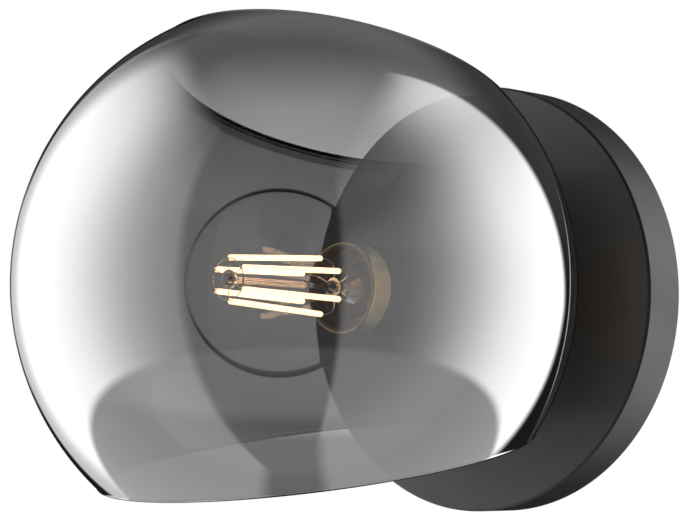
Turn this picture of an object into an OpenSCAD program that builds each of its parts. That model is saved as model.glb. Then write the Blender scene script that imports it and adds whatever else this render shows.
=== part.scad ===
// Wall sconce with an open smoked glass globe, a drum canopy and a screw lamp on its axis.
// Millimetres. The wall is the plane y = 0, the sconce points along -Y and +Z is up.
// The origin is the middle of the canopy on the wall.

/* [Globe] */
// Outer radius of the glass globe
globe_r = 120; // [112:1:130]
// Thickness of the glass
glass_t = 3.3; // [2.6:0.1:4.2]
// Distance of the top cut from the middle of the globe
top_cut = 90.7; // [84:0.1:100]
// Lean of the top cut towards the wall, in degrees
top_tilt = 18; // [6:0.5:22]
// Distance of the bottom cut from the middle of the globe
bottom_cut = 76; // [70:0.5:95]
// Lean of the bottom cut towards the wall, in degrees
bottom_tilt = 10.4; // [4:0.1:16]
// Gap between the canopy's face and the back of the full globe
globe_standoff = 2.1; // [1.8:0.1:3.5]

/* [Canopy] */
// Outer radius of the drum
canopy_r = 98; // [80:1:120]
// Depth of the drum from the wall to its face
canopy_depth = 23; // [21:0.5:32]
// Sheet thickness of the drum
canopy_t = 1.2; // [0.8:0.1:1.6]
// Bevel around the face
canopy_bevel = 1; // [0.4:0.1:1.5]

/* [Wall bracket] */
// Width of the strap
strap_w = 30; // [28:1:36]
// Thickness of the strap
strap_t = 1.5; // [1.2:0.1:2]
// Distance between the two wall slots
slot_spacing = 124; // [116:1:136]
// Width of a wall slot
slot_w = 5; // [4:0.5:6]
// Length of a wall slot over its round ends
slot_len = 12; // [9:0.5:16]
// Width of an ear that holds the drum
ear_w = 16; // [12:1:20]
// Depth of an ear from the wall
ear_depth = 13; // [12:0.5:16]
// Radius of the hole for the mains cable
cable_hole_r = 10; // [8:0.5:11]
// Bore radius of the cable grommet
grommet_bore_r = 5; // [3.5:0.5:6]

/* [Cover and collar] */
// Outer radius of the black cover tube
cover_r = 19.6; // [19:0.1:22]
// Wall of the cover tube
cover_t = 0.9; // [0.6:0.1:1]
// Length of the cover tube from the canopy's face
cover_len = 82; // [72:1:95]
// Thickness of the cover's end plate
cover_plate_t = 1.5; // [1:0.1:2.5]
// How far the brass collar stands proud of the cover
collar_lip = 0.3; // [0.1:0.1:1]
// Visible length of the brass collar
collar_len = 10; // [7:0.5:13]
// Wall of the collar's visible part
collar_t = 1.6; // [1:0.1:1.9]
// Length of the collar's skirt inside the cover
skirt_len = 8; // [5:0.5:10]

/* [Globe clamp] */
// Outer radius of the clamp ring
clamp_r = 28; // [26:0.5:31]
// Thickness of the clamp ring
clamp_t = 5; // [4:0.5:7]
// Grip notches around the clamp ring
clamp_notches = 12; // [6:1:16]
// Radius of a grip notch
notch_r = 2; // [1.5:0.1:2.5]
// Thickness of the metal seat ring
seat_t = 2; // [1:0.1:2.4]
// Thickness of the front gasket beside the globe's hole
gasket_t = 2.8; // [2.2:0.1:4]

/* [Threaded tube] */
// Outer radius of the threaded tube
tube_r = 5; // [4.5:0.1:5.5]
// Bore radius of the threaded tube
tube_bore_r = 3.5; // [3:0.1:3.8]
// How far the tube stands behind the canopy's face
tube_behind = 9.5; // [8:0.5:11]
// Width across the flats of its nuts
nut_flats = 14; // [13:0.5:16]
// Height of its nuts
nut_h = 4; // [3:0.5:5]
// Thickness of the lock washer
lock_washer_t = 1; // [0.6:0.1:1.2]

/* [Lampholder] */
// Depth of the socket from the cover's front end to the lamp's tip
socket_depth = 30; // [28:0.5:34]
// Outer radius of the holder
holder_r = 17.2; // [17:0.1:17.4]
// Wall of the holder's base cup
holder_t = 1.5; // [1.2:0.1:1.8]
// Bore radius of the holder's screw shell
shell_bore_r = 13.55; // [13.5:0.01:13.8]
// Wall of the screw shell
shell_t = 0.4; // [0.3:0.05:0.5]
// Height of the ceramic insert
insert_h = 9; // [8:0.5:11]
// Room for the leads behind the insert
wiring_h = 6; // [5:0.5:8]
// Height of the threaded hub behind the base
hub_h = 7; // [5:0.5:9]
// Radius of the threaded hub
hub_r = 8; // [7:0.5:10]

/* [Lamp] */
// Radius of the lamp's glass ball
bulb_r = 40; // [36:0.5:46]
// Length of the lamp's neck from its cap to its ball
neck_len = 20.2; // [17:0.1:24]
// Thickness of the lamp's glass
bulb_glass_t = 0.9; // [0.7:0.1:1.2]
// Radius of the glass neck inside the cap
neck_r = 12.4; // [12:0.1:12.5]
// Largest radius of the cap's thread
cap_r = 13.2; // [13:0.05:13.25]
// Pitch of the cap's thread
cap_pitch = 3.628; // [3.4:0.001:3.8]
// Turns of thread on the cap
cap_turns = 5; // [4:1:5]
// Number of glowing filaments
filament_count = 6; // [4:1:8]
// Length of a filament along the axis
filament_len = 57.5; // [50:0.5:60]
// Radius of the filament ring at the back
filament_back_r = 12.1; // [10:0.1:14]
// Radius of the filament ring at the front
filament_front_r = 9; // [7:0.1:12]
// Radius of a filament
filament_r = 1.2; // [0.7:0.1:1.3]

/* [Terminal block] */
// Distance between two poles
pole_spacing = 9; // [8.5:0.1:9.5]
// Height of the block along the strap
block_h = 16; // [14:0.5:18]
// Depth of the block from the strap
block_depth = 12.5; // [11:0.5:14]
// Distance of the block's upper side below the axis
block_drop = 24; // [22:0.5:28]

/* [Fits] */
// Gap between a piece and the one that it rests against
rest_gap = 0.3; // [0.2:0.05:0.4]
// Radial gap of a piece that turns on another
running_gap = 0.06; // [0.03:0.01:0.1]
// Gap round a screw or a pressed piece
close_gap = 0.05; // [0.03:0.01:0.1]
// Gap round a piece that is slid into place
slip_gap = 0.15; // [0.1:0.01:0.25]

/* [Hidden] */

// Fineness of the round pieces
$fn = 96;
// One overrun for every cut that passes right through
over = 1;

// Places along the axis, as distances from the wall
face_p = canopy_depth;
globe_p = face_p + globe_standoff + globe_r;
cover_front_p = face_p + cover_len;
tip_p = cover_front_p - socket_depth;
insert_back_p = tip_p - insert_h;
base_inner_p = insert_back_p - wiring_h;
base_t = 2 * holder_t;
base_back_p = base_inner_p - base_t;

// Radii that follow from the fits
globe_in_r = globe_r - glass_t;
globe_hole_r = cover_r + 4 * rest_gap;
gasket_in_r = cover_r + 2 * rest_gap;
seat_in_r = cover_r + rest_gap;
canopy_in_r = canopy_r - canopy_t;
cover_in_r = cover_r - cover_t;
nut_r = nut_flats / 2 / cos(180 / 6);

// Where the globe's inner and outer faces meet a radius near its hole
function outer_glass_p(r) = globe_p - sqrt(globe_r * globe_r - r * r);
function inner_glass_p(r) = globe_p - sqrt(globe_in_r * globe_in_r - r * r);

seat_front_p = face_p + seat_t;
gasket_front_p = inner_glass_p(globe_hole_r) + gasket_t;
clamp_p = gasket_front_p + rest_gap;

// Turns a shape whose axis is +Z so that it points away from the wall
module out_of_wall(p = 0) {
    rotate([90, 0, 0]) translate([0, 0, p]) children();
}

// A ring or a disc between two distances from the wall
module ring(in_r, out_r, from_p, to_p) {
    translate([0, 0, from_p]) difference() {
        cylinder(r = out_r, h = to_p - from_p);
        if (in_r > 0) translate([0, 0, -over]) cylinder(r = in_r, h = to_p - from_p + 2 * over);
    }
}

module hex_nut(bore_r, height) {
    difference() {
        cylinder(r = nut_r, h = height, $fn = 6);
        translate([0, 0, -over]) cylinder(r = bore_r, h = height + 2 * over);
    }
}

// A straight wire or rod from one point to another
module rod(from, to, r) {
    d = to - from;
    len = norm(d);
    translate(from) rotate([0, acos(d[2] / len), atan2(d[1], d[0])]) cylinder(r = r, h = len);
}

// WALL BRACKET
// A flat strap up the wall, with an ear bent forward at each end.

// The ear's corners stay clear of the drum's round wall
ear_out_y = sqrt(canopy_in_r * canopy_in_r - ear_w * ear_w / 4) - rest_gap;
strap_corner_y = sqrt(canopy_in_r * canopy_in_r - strap_w * strap_w / 4) - rest_gap;
// The strap stops where its corners are clear, and the narrower ear goes on
screw_p = ear_depth / 2;
canopy_screw_r = 2;
block_screw_r = 1.5;
earth_screw_r = 2;
earth_screw_y = 30;
// The block's fixing screw sits between two of its poles
block_mid_y = -block_drop - block_h / 2;
block_screw_x = pole_spacing / 2;

module slot_cut(width, length, height) {
    for (s = [-1, 1]) translate([0, s * (length - width) / 2, 0]) cylinder(r = width / 2, h = height);
    translate([-width / 2, -(length - width) / 2, 0]) cube([width, length - width, height]);
}

module wall_bracket() {
    color([0.72, 0.73, 0.75]) out_of_wall() difference() {
        union() {
            translate([-strap_w / 2, -strap_corner_y, 0]) cube([strap_w, 2 * strap_corner_y, strap_t]);
            translate([-ear_w / 2, -ear_out_y, 0]) cube([ear_w, 2 * ear_out_y, strap_t]);
            for (s = [0, 1]) mirror([0, s, 0]) {
                translate([-ear_w / 2, ear_out_y - strap_t, 0]) cube([ear_w, strap_t, ear_depth]);
            }
        }
        translate([0, 0, -over]) cylinder(r = cable_hole_r, h = strap_t + 2 * over);
        for (s = [-1, 1]) {
            translate([0, s * slot_spacing / 2, -over]) slot_cut(slot_w, slot_len, strap_t + 2 * over);
            translate([0, s * (ear_out_y + over), screw_p]) rotate([s * 90, 0, 0])
                cylinder(r = canopy_screw_r + close_gap, h = strap_t + 2 * over);
        }
        translate([block_screw_x, block_mid_y, -over])
            cylinder(r = block_screw_r + close_gap, h = strap_t + 2 * over);
        translate([0, earth_screw_y, -over]) cylinder(r = earth_screw_r + close_gap, h = strap_t + 2 * over);
    }
}

grommet_flange_w = 2.5;
grommet_flange_t = 2;

module cable_grommet() {
    color([0.12, 0.12, 0.12]) out_of_wall() {
        ring(grommet_bore_r, cable_hole_r - close_gap, 0, strap_t + grommet_flange_t / 2);
        ring(grommet_bore_r, cable_hole_r + grommet_flange_w, strap_t, strap_t + grommet_flange_t);
    }
}

// TERMINAL BLOCK
// Three poles side by side, each a brass sleeve with a clamping screw at either end.

block_poles = 3;
block_side = 1.25;
block_w = block_poles * pole_spacing + 2 * block_side;
sleeve_r = 2.6;
sleeve_bore_r = 1.5;
sleeve_p = strap_t + block_depth / 2;
clamp_screw_r = 1.3;
clamp_screw_h = 4;
clamp_screw_y = block_h / 4;
pole_x = [for (i = [0 : block_poles - 1]) (i - (block_poles - 1) / 2) * pole_spacing];
// Head of the screw that fixes the block to the strap
block_head_r = 2.4;
block_head_h = 1.6;

module terminal_block() {
    color([0.93, 0.92, 0.88]) out_of_wall() difference() {
        translate([-block_w / 2, -block_drop - block_h, strap_t]) cube([block_w, block_h, block_depth]);
        for (x = pole_x) {
            translate([x, -block_drop + over, sleeve_p]) rotate([90, 0, 0])
                cylinder(r = sleeve_r + close_gap, h = block_h + 2 * over);
            for (s = [-1, 1]) translate([x, block_mid_y + s * clamp_screw_y, sleeve_p])
                cylinder(r = clamp_screw_r + slip_gap, h = block_depth);
        }
        // Notches between the poles
        for (x = [for (i = [0 : block_poles - 2]) (i - (block_poles - 2) / 2) * pole_spacing])
            for (s = [-1, 1]) translate([x, block_mid_y + s * block_h / 2, strap_t - over])
                cylinder(r = clamp_screw_r, h = block_depth + 2 * over);
        // The fixing screw's hole and the recess for its head
        translate([block_screw_x, block_mid_y, strap_t - over])
            cylinder(r = block_screw_r + close_gap, h = block_depth + 2 * over);
        translate([block_screw_x, block_mid_y, strap_t + block_depth - block_head_h])
            cylinder(r = block_head_r + slip_gap, h = block_depth);
    }
}

module terminal_sleeves() {
    color([0.80, 0.66, 0.36]) out_of_wall() for (x = pole_x) difference() {
        translate([x, -block_drop, sleeve_p]) rotate([90, 0, 0]) cylinder(r = sleeve_r, h = block_h);
        translate([x, -block_drop + over, sleeve_p]) rotate([90, 0, 0])
            cylinder(r = sleeve_bore_r, h = block_h + 2 * over);
        for (s = [-1, 1]) translate([x, block_mid_y + s * clamp_screw_y, sleeve_p])
            cylinder(r = clamp_screw_r + close_gap, h = block_depth);
    }
}

// A headless slotted screw that stands on a lead
module clamp_screw() {
    difference() {
        cylinder(r = clamp_screw_r, h = clamp_screw_h);
        translate([-clamp_screw_r - over, -screw_slot_w / 2, clamp_screw_h - screw_slot_d])
            cube([2 * clamp_screw_r + 2 * over, screw_slot_w, screw_slot_d + over]);
    }
}

screw_slot_w = 0.6;
screw_slot_d = 0.9;

module terminal_screws() {
    color([0.72, 0.73, 0.75]) out_of_wall() for (x = pole_x, s = [-1, 1])
        translate([x, block_mid_y + s * clamp_screw_y, sleeve_p + lead_r + close_gap]) clamp_screw();
}

// A pan-head screw that points back at the wall, with its head's seat at zero
module pan_screw(shank_r, shank_len, head_r, head_h) {
    translate([0, 0, -shank_len]) cylinder(r = shank_r, h = shank_len);
    difference() {
        cylinder(r1 = head_r, r2 = head_r - head_h / 2, h = head_h);
        translate([-head_r - over, -screw_slot_w / 2, head_h - screw_slot_d])
            cube([2 * head_r + 2 * over, screw_slot_w, screw_slot_d + over]);
    }
}

module block_screw() {
    head_p = strap_t + block_depth - block_head_h;
    color([0.72, 0.73, 0.75]) out_of_wall() translate([block_screw_x, block_mid_y, head_p])
        pan_screw(block_screw_r, head_p, block_head_r, block_head_h);
}

// EARTH POINT
// A screw into the strap that holds the tag on the earth lead.
earth_head_r = 3.8;
earth_head_h = 2.2;
tag_t = 0.8;
tag_r = 4.2;
tag_barrel_r = 1.9;
tag_barrel_len = 5;

module earth_screw() {
    color([0.80, 0.66, 0.36]) out_of_wall() translate([0, earth_screw_y, strap_t + tag_t])
        pan_screw(earth_screw_r, strap_t + tag_t, earth_head_r, earth_head_h);
}

module earth_tag() {
    color([0.78, 0.78, 0.80]) out_of_wall() translate([0, earth_screw_y, strap_t]) {
        difference() {
            union() {
                cylinder(r = tag_r, h = tag_t);
                translate([-tag_barrel_r, -tag_r - tag_t, 0]) cube([2 * tag_barrel_r, tag_r, tag_t]);
            }
            translate([0, 0, -over]) cylinder(r = earth_screw_r + close_gap, h = tag_t + 2 * over);
        }
        difference() {
            translate([0, -tag_r, tag_barrel_r]) rotate([90, 0, 0])
                cylinder(r = tag_barrel_r, h = tag_barrel_len);
            translate([0, -tag_r + over, tag_barrel_r]) rotate([90, 0, 0])
                cylinder(r = lead_r + close_gap, h = tag_barrel_len + 2 * over);
        }
    }
}

// CANOPY
// A drum pressed from sheet, open at the wall, with a bevel round its face.
csk_r = 3.8;
csk_h = csk_r - canopy_screw_r;
csk_len = 8;

module canopy() {
    color([0.13, 0.13, 0.13]) out_of_wall() difference() {
        union() {
            cylinder(r = canopy_r, h = canopy_depth - canopy_bevel);
            translate([0, 0, canopy_depth - canopy_bevel])
                cylinder(r1 = canopy_r, r2 = canopy_r - canopy_bevel, h = canopy_bevel);
        }
        translate([0, 0, -over]) cylinder(r = canopy_in_r, h = canopy_depth - canopy_t + over);
        cylinder(r = tube_r + slip_gap, h = canopy_depth + over);
        for (s = [-1, 1]) translate([0, s * canopy_r, screw_p]) rotate([s * 90, 0, 0]) {
            cylinder(r1 = csk_r + close_gap, r2 = canopy_screw_r + close_gap, h = csk_h);
            translate([0, 0, -over]) cylinder(r = canopy_screw_r + close_gap, h = csk_h + 2 * over);
            translate([0, 0, -over]) cylinder(r = csk_r + close_gap, h = over);
        }
    }
}

module canopy_screws() {
    color([0.13, 0.13, 0.13]) out_of_wall() for (s = [-1, 1])
        translate([0, s * (canopy_r - close_gap), screw_p]) rotate([s * 90, 0, 0]) difference() {
            union() {
                cylinder(r1 = csk_r, r2 = canopy_screw_r, h = csk_h);
                cylinder(r = canopy_screw_r, h = csk_len);
            }
            // A hexagon socket for the key
            translate([0, 0, -over]) cylinder(r = canopy_screw_r / 2, h = csk_h + over, $fn = 6);
        }
}

// THREADED TUBE
// It holds the canopy, the cover and the lampholder together and carries the leads.
bush_flange_t = 0.8;
bush_t = 0.6;
bush_len = 5;
tube_back_p = face_p - tube_behind;

module threaded_tube() {
    color([0.78, 0.72, 0.55]) out_of_wall() ring(tube_bore_r, tube_r, tube_back_p, base_inner_p);
}

// A plastic bush in each mouth of the tube, so that its edge doesn't cut the leads
module bush() {
    difference() {
        union() {
            cylinder(r = tube_bore_r - close_gap, h = bush_len);
            translate([0, 0, -bush_flange_t]) cylinder(r = tube_r, h = bush_flange_t);
        }
        translate([0, 0, -bush_flange_t - over])
            cylinder(r = tube_bore_r - close_gap - bush_t, h = bush_len + bush_flange_t + 2 * over);
    }
}

module tube_bushes() {
    color([0.93, 0.92, 0.88]) out_of_wall() {
        translate([0, 0, tube_back_p]) bush();
        translate([0, 0, base_inner_p]) mirror([0, 0, 1]) bush();
    }
}

rear_nut_p = face_p - canopy_t - lock_washer_t - nut_h;

module rear_nut() {
    color([0.72, 0.73, 0.75]) out_of_wall(rear_nut_p) hex_nut(tube_r + close_gap, nut_h);
}

washer_teeth = 12;
washer_tooth_r = 0.9;

module lock_washer() {
    washer_r = nut_r + lock_washer_t;
    color([0.72, 0.73, 0.75]) out_of_wall(rear_nut_p + nut_h) difference() {
        cylinder(r = washer_r, h = lock_washer_t);
        translate([0, 0, -over]) cylinder(r = tube_r + close_gap, h = lock_washer_t + 2 * over);
        for (i = [0 : washer_teeth - 1]) rotate([0, 0, i * 360 / washer_teeth])
            translate([washer_r, 0, -over]) cylinder(r = washer_tooth_r, h = lock_washer_t + 2 * over);
    }
}

module front_nut() {
    color([0.72, 0.73, 0.75]) out_of_wall(face_p + cover_plate_t) hex_nut(tube_r + close_gap, nut_h);
}

// GLOBE AND ITS CLAMP
// The globe slides over the cover, against a gasket on the seat ring, and the ring clamps it.

module globe_seat() {
    color([0.15, 0.15, 0.15]) out_of_wall() ring(seat_in_r, clamp_r, face_p, seat_front_p);
}

// The gaskets' faces on the glass are cones that follow it closely
module rear_gasket() {
    out_r = clamp_r - rest_gap;
    color([0.08, 0.08, 0.08]) out_of_wall() rotate_extrude() polygon([
        [gasket_in_r, seat_front_p], [out_r, seat_front_p],
        [out_r, outer_glass_p(out_r) - slip_gap], [gasket_in_r, outer_glass_p(gasket_in_r) - slip_gap]]);
}

// The half space that the top cut or the bottom cut takes away
module rim_cut(offset, tilt) {
    span = 2 * globe_r;
    rotate([tilt, 0, 0]) translate([-span / 2, offset, -span / 2]) cube([span, span, span]);
}

module globe() {
    color([0.45, 0.46, 0.48, 0.5]) out_of_wall(globe_p) difference() {
        sphere(r = globe_r);
        sphere(r = globe_in_r);
        rim_cut(top_cut, -top_tilt);
        mirror([0, 1, 0]) rim_cut(bottom_cut, -bottom_tilt);
        translate([0, 0, -globe_r - over]) cylinder(r = globe_hole_r, h = globe_r / 2);
    }
}

module front_gasket() {
    out_r = clamp_r - rest_gap;
    color([0.08, 0.08, 0.08]) out_of_wall() rotate_extrude() polygon([
        [gasket_in_r, inner_glass_p(gasket_in_r) + close_gap], [out_r, inner_glass_p(out_r) + close_gap],
        [out_r, gasket_front_p], [gasket_in_r, gasket_front_p]]);
}

module clamp_ring() {
    color([0.13, 0.13, 0.13]) out_of_wall(clamp_p) difference() {
        cylinder(r = clamp_r, h = clamp_t);
        translate([0, 0, -over]) cylinder(r = cover_r + running_gap, h = clamp_t + 2 * over);
        for (i = [0 : clamp_notches - 1]) rotate([0, 0, i * 360 / clamp_notches])
            translate([clamp_r, 0, -over]) cylinder(r = notch_r, h = clamp_t + 2 * over);
    }
}

// COVER AND COLLAR
// A black tube that hides the lampholder, closed at the back by a plate on the canopy's face.

module holder_cover() {
    color([0.13, 0.13, 0.13]) out_of_wall() difference() {
        translate([0, 0, face_p]) cylinder(r = cover_r, h = cover_len);
        translate([0, 0, face_p + cover_plate_t]) cylinder(r = cover_in_r, h = cover_len);
        translate([0, 0, face_p - over]) cylinder(r = tube_r + close_gap, h = cover_plate_t + 2 * over);
    }
}

collar_r = cover_r + collar_lip;
collar_step = 1;

// Its skirt slides between the lampholder and the cover, and its step rests on the cover's end
module brass_collar() {
    skirt_in_r = holder_r + close_gap;
    skirt_r = cover_in_r - slip_gap;
    front_in_r = collar_r - collar_t;
    back = cover_front_p - skirt_len;
    front = cover_front_p + collar_len;
    color([0.72, 0.60, 0.42]) out_of_wall() rotate_extrude() polygon([
        [skirt_in_r, back], [skirt_r, back], [skirt_r, cover_front_p], [collar_r, cover_front_p],
        [collar_r, front], [front_in_r, front], [front_in_r, cover_front_p + collar_step],
        [skirt_in_r, cover_front_p + collar_step]]);
}

// LAMPHOLDER
// A base cup on the threaded tube, a body in front of it and a ceramic insert between them.
insert_r = holder_r - holder_t - rest_gap;
ledge_w = 1.2;
insert_overlap = insert_h / 3;
joint_p = tip_p - insert_overlap;
body_front_p = cover_front_p + collar_step / 2;
body_bore_r = shell_bore_r + shell_t + slip_gap;

module holder_base() {
    color([0.16, 0.16, 0.16]) out_of_wall() difference() {
        union() {
            translate([0, 0, base_back_p]) cylinder(r = holder_r, h = joint_p - base_back_p);
            translate([0, 0, base_back_p - hub_h]) cylinder(r = hub_r, h = hub_h + base_t / 2);
        }
        translate([0, 0, base_inner_p]) cylinder(r = insert_r + rest_gap - ledge_w, h = insert_h + wiring_h);
        translate([0, 0, insert_back_p]) cylinder(r = insert_r + rest_gap, h = insert_h + over);
        translate([0, 0, base_back_p - hub_h - over])
            cylinder(r = tube_r + close_gap, h = hub_h + base_t + 2 * over);
    }
}

module holder_body() {
    color([0.16, 0.16, 0.16]) out_of_wall() {
        difference() {
            translate([0, 0, joint_p]) cylinder(r = holder_r, h = body_front_p - joint_p);
            translate([0, 0, joint_p - over]) cylinder(r = insert_r + rest_gap, h = tip_p - joint_p + over);
            translate([0, 0, joint_p]) cylinder(r = body_bore_r, h = body_front_p);
        }
    }
}

contact_well_r = 10;
contact_well_h = 3;
contact_t = 0.5;
contact_r = 4;
terminal_y = 8;
terminal_hole_h = 5;
side_slot_w = 4;
side_slot_t = 1.2;
side_slot_y = shell_bore_r - side_slot_t / 2;

module holder_insert() {
    color([0.92, 0.91, 0.88]) out_of_wall(insert_back_p) difference() {
        cylinder(r = insert_r, h = insert_h);
        translate([0, 0, insert_h - contact_well_h]) cylinder(r = contact_well_r, h = contact_well_h + over);
        for (s = [-1, 1]) translate([0, s * terminal_y, -over])
            cylinder(r = holder_screw_r + close_gap, h = terminal_hole_h + over);
        translate([-side_slot_w / 2, side_slot_y - side_slot_t / 2, -over])
            cube([side_slot_w, side_slot_t, insert_h + 2 * over]);
    }
}

module screw_shell() {
    color([0.80, 0.72, 0.50]) out_of_wall()
        ring(shell_bore_r, shell_bore_r + shell_t, tip_p, cover_front_p - holder_t);
}

// A sprung strip in the well, raised in the middle to meet the lamp's tip
module centre_contact() {
    well_p = tip_p - contact_well_h;
    strip_w = contact_r;
    color([0.80, 0.66, 0.36]) out_of_wall() {
        translate([-strip_w / 2, -contact_well_r + rest_gap, well_p])
            cube([strip_w, contact_well_r - rest_gap, contact_t]);
        translate([0, 0, well_p]) cylinder(r = contact_r / 2, h = contact_well_h - rest_gap);
    }
}

// A tab through the insert that touches the back edge of the screw shell
module side_contact() {
    color([0.80, 0.66, 0.36]) out_of_wall(insert_back_p)
        translate([-side_slot_w / 2 + close_gap, side_slot_y - side_slot_t / 2 + close_gap, 0])
            cube([side_slot_w - 2 * close_gap, side_slot_t - 2 * close_gap, insert_h - close_gap]);
}

holder_screw_r = 1.5;
holder_head_r = 2.7;
holder_head_h = 2;

module holder_screws() {
    color([0.72, 0.73, 0.75]) out_of_wall(insert_back_p) for (s = [-1, 1])
        translate([0, s * terminal_y, 0]) mirror([0, 0, 1])
            pan_screw(holder_screw_r, terminal_hole_h - rest_gap, holder_head_r, holder_head_h);
}

// LEADS
// Insulated leads, each swept along a smooth curve through a few points.
lead_r = 1.05;
lead_sides = 8;
lead_steps = 3;

// A point on the smooth curve between b and c, with a and d as its neighbours
function curve_point(a, b, c, d, t) =
    0.5 * (2 * b + (c - a) * t + (2 * a - 5 * b + 4 * c - d) * t * t + (3 * b - a - 3 * c + d) * t * t * t);
function smooth_path(p) = [
    for (i = [0 : len(p) - 2], k = [0 : lead_steps - 1])
        curve_point(p[max(i - 1, 0)], p[i], p[i + 1], p[min(i + 2, len(p) - 1)], k / lead_steps),
    p[len(p) - 1]];
function unit(v) = v / norm(v);
function tangent(p, i) = unit(p[min(i + 1, len(p) - 1)] - p[max(i - 1, 0)]);
// The ring of points round the path at one place, turned by a side vector that stays level
function lead_ring(p, i, r, side) =
    let (t = tangent(p, i), n = unit(cross(t, side)), b = cross(t, n), turn = 360 / lead_sides)
    [for (k = [0 : lead_sides - 1]) p[i] + r * (cos(k * turn) * n + sin(k * turn) * b)];

module sweep(route, r, side) {
    path = smooth_path(route);
    last = len(path) - 1;
    n = lead_sides;
    points = [for (i = [0 : last]) each lead_ring(path, i, r, side)];
    walls = [for (i = [0 : last - 1], k = [0 : n - 1], f = [0, 1])
        let (a = i * n + k, b = i * n + (k + 1) % n)
        f == 0 ? [a, b, b + n] : [a, b + n, a + n]];
    back = [for (k = [1 : n - 2]) [0, k + 1, k]];
    front = [for (k = [1 : n - 2]) [last * n, last * n + k, last * n + k + 1]];
    polyhedron(points = points, faces = concat(walls, back, front), convexity = 6);
}

// Side by side in the tube, one lead to each screw of the insert
lead_x = 1.3;
lead_end_y = terminal_y - holder_head_r;
tube_mouth = tube_back_p - bush_flange_t;
lead_end_p = base_inner_p + wiring_h - lead_r - rest_gap;
// How far a lead goes into its sleeve, and how far it runs straight before an end
lead_strip = 4;
lead_straight = 1;

// Points between two ends of a stretch, as shares of the way along each axis
function between(a, b, shares) = [for (s = shares) [for (i = [0 : 2]) a[i] + s[i] * (b[i] - a[i])]];
// From the block to the mouth of the tube, from the tube to the insert, and from the block to the tag
to_tube_shares = [[0.32, 0.35, 0.12], [0.73, 0.7, 0.08], [1, 0.93, 0.32]];
to_insert_shares = [[0, 0, 0.13], [0.4, 0.3, 0.62]];
to_tag_shares = [[-0.28, 0.16, 0.05], [-0.42, 0.42, 0.26], [-0.33, 0.61, 0.43],
    [0.04, 0.74, 0.56], [0.53, 0.85, 0.72], [0.87, 0.92, 0.88], [1, 0.98, 1]];

module holder_lead(pole, side_of_axis) {
    x = side_of_axis * lead_x;
    leaves = [pole_x[pole], -block_drop + lead_straight, sleeve_p];
    enters = [x, 0, tube_mouth];
    comes_out = [x, 0, base_inner_p];
    ends = [x / 2, side_of_axis * lead_end_y, lead_end_p];
    sweep(concat(
        [[pole_x[pole], -block_drop - lead_strip, sleeve_p], leaves],
        between(leaves, enters, to_tube_shares),
        [enters, [x, 0, tube_back_p + bush_len], [x, 0, base_inner_p - bush_len]],
        between(comes_out, ends, to_insert_shares),
        [ends]), lead_r, [1, 0, 0]);
}

module live_lead() {
    color([0.45, 0.24, 0.12]) out_of_wall() holder_lead(0, -1);
}

module neutral_lead() {
    color([0.15, 0.30, 0.70]) out_of_wall() holder_lead(1, 1);
}

module earth_lead() {
    leaves = [pole_x[2], -block_drop + lead_straight, sleeve_p];
    barrel_end_y = earth_screw_y - tag_r;
    enters = [0, barrel_end_y - tag_barrel_len - lead_straight, strap_t + tag_barrel_r];
    color([0.45, 0.65, 0.20]) out_of_wall() sweep(concat(
        [[pole_x[2], -block_drop - lead_strip, sleeve_p], leaves],
        between(leaves, enters, to_tag_shares),
        [enters, [0, barrel_end_y - lead_straight, strap_t + tag_barrel_r]]), lead_r, [0, 0, 1]);
}

// LAMP
// Its cap turns in the screw shell, and the insulator and the tip ride in front of it.
tip_h = 1.5;
tip_r = 4.8;
insulator_h = 3;
insulator_r = 10.8;
cap_back_p = tip_p + tip_h + insulator_h + close_gap;
cap_len = 27;
cap_front_p = tip_p + cap_len;
cap_thread_depth = 1.1;
cap_t = 0.3;
// Width of the cap's back lip, turned in over the insulator
cap_lip_w = 1.6;
cap_steps = 10;
cap_in_r = neck_r + close_gap;
cap_wall_r = cap_r - cap_thread_depth - cap_t;
collar_of_cap_h = 3;

// Shares of the tip's radius and height
tip_shares = [[0, 0], [0.6, 0], [0.9, 0.3], [1, 1], [0, 1]];

module lamp_tip() {
    color([0.80, 0.80, 0.80]) out_of_wall(tip_p) rotate_extrude()
        polygon([for (s = tip_shares) [s[0] * tip_r, s[1] * tip_h]]);
}

module lamp_insulator() {
    color([0.10, 0.10, 0.12]) out_of_wall(tip_p + tip_h)
        cylinder(r1 = tip_r + rest_gap, r2 = insulator_r, h = insulator_h);
}

// The rolled thread is a row of rounded rings at the thread's pitch
module lamp_cap() {
    thread_len = cap_turns * cap_pitch;
    thread_p = cap_front_p - collar_of_cap_h - thread_len;
    mid_r = cap_r - cap_thread_depth / 2;
    wave = [for (i = [0 : cap_turns * cap_steps])
        [mid_r - cos(i * 360 / cap_steps) * cap_thread_depth / 2, thread_p + i * cap_pitch / cap_steps]];
    color([0.80, 0.80, 0.80]) out_of_wall() rotate_extrude() polygon(concat(
        [[insulator_r - cap_lip_w, cap_back_p], [insulator_r, cap_back_p]], wave,
        [[cap_r, cap_front_p - collar_of_cap_h + cap_t], [cap_r, cap_front_p], [cap_in_r, cap_front_p],
        [cap_in_r, cap_front_p - collar_of_cap_h], [cap_wall_r, cap_front_p - collar_of_cap_h - cap_t],
        [cap_wall_r, thread_p], [insulator_r - cap_t, cap_back_p + cap_t],
        [insulator_r - cap_lip_w, cap_back_p + cap_t]]));
}

// Driver board with its two tall parts, upright in the cap and held by its two long edges
board_w = 2 * (cap_wall_r - rest_gap);
board_t = 1.2;
board_len = 14;
capacitor_r = 4;
coil_r = 3;

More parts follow.
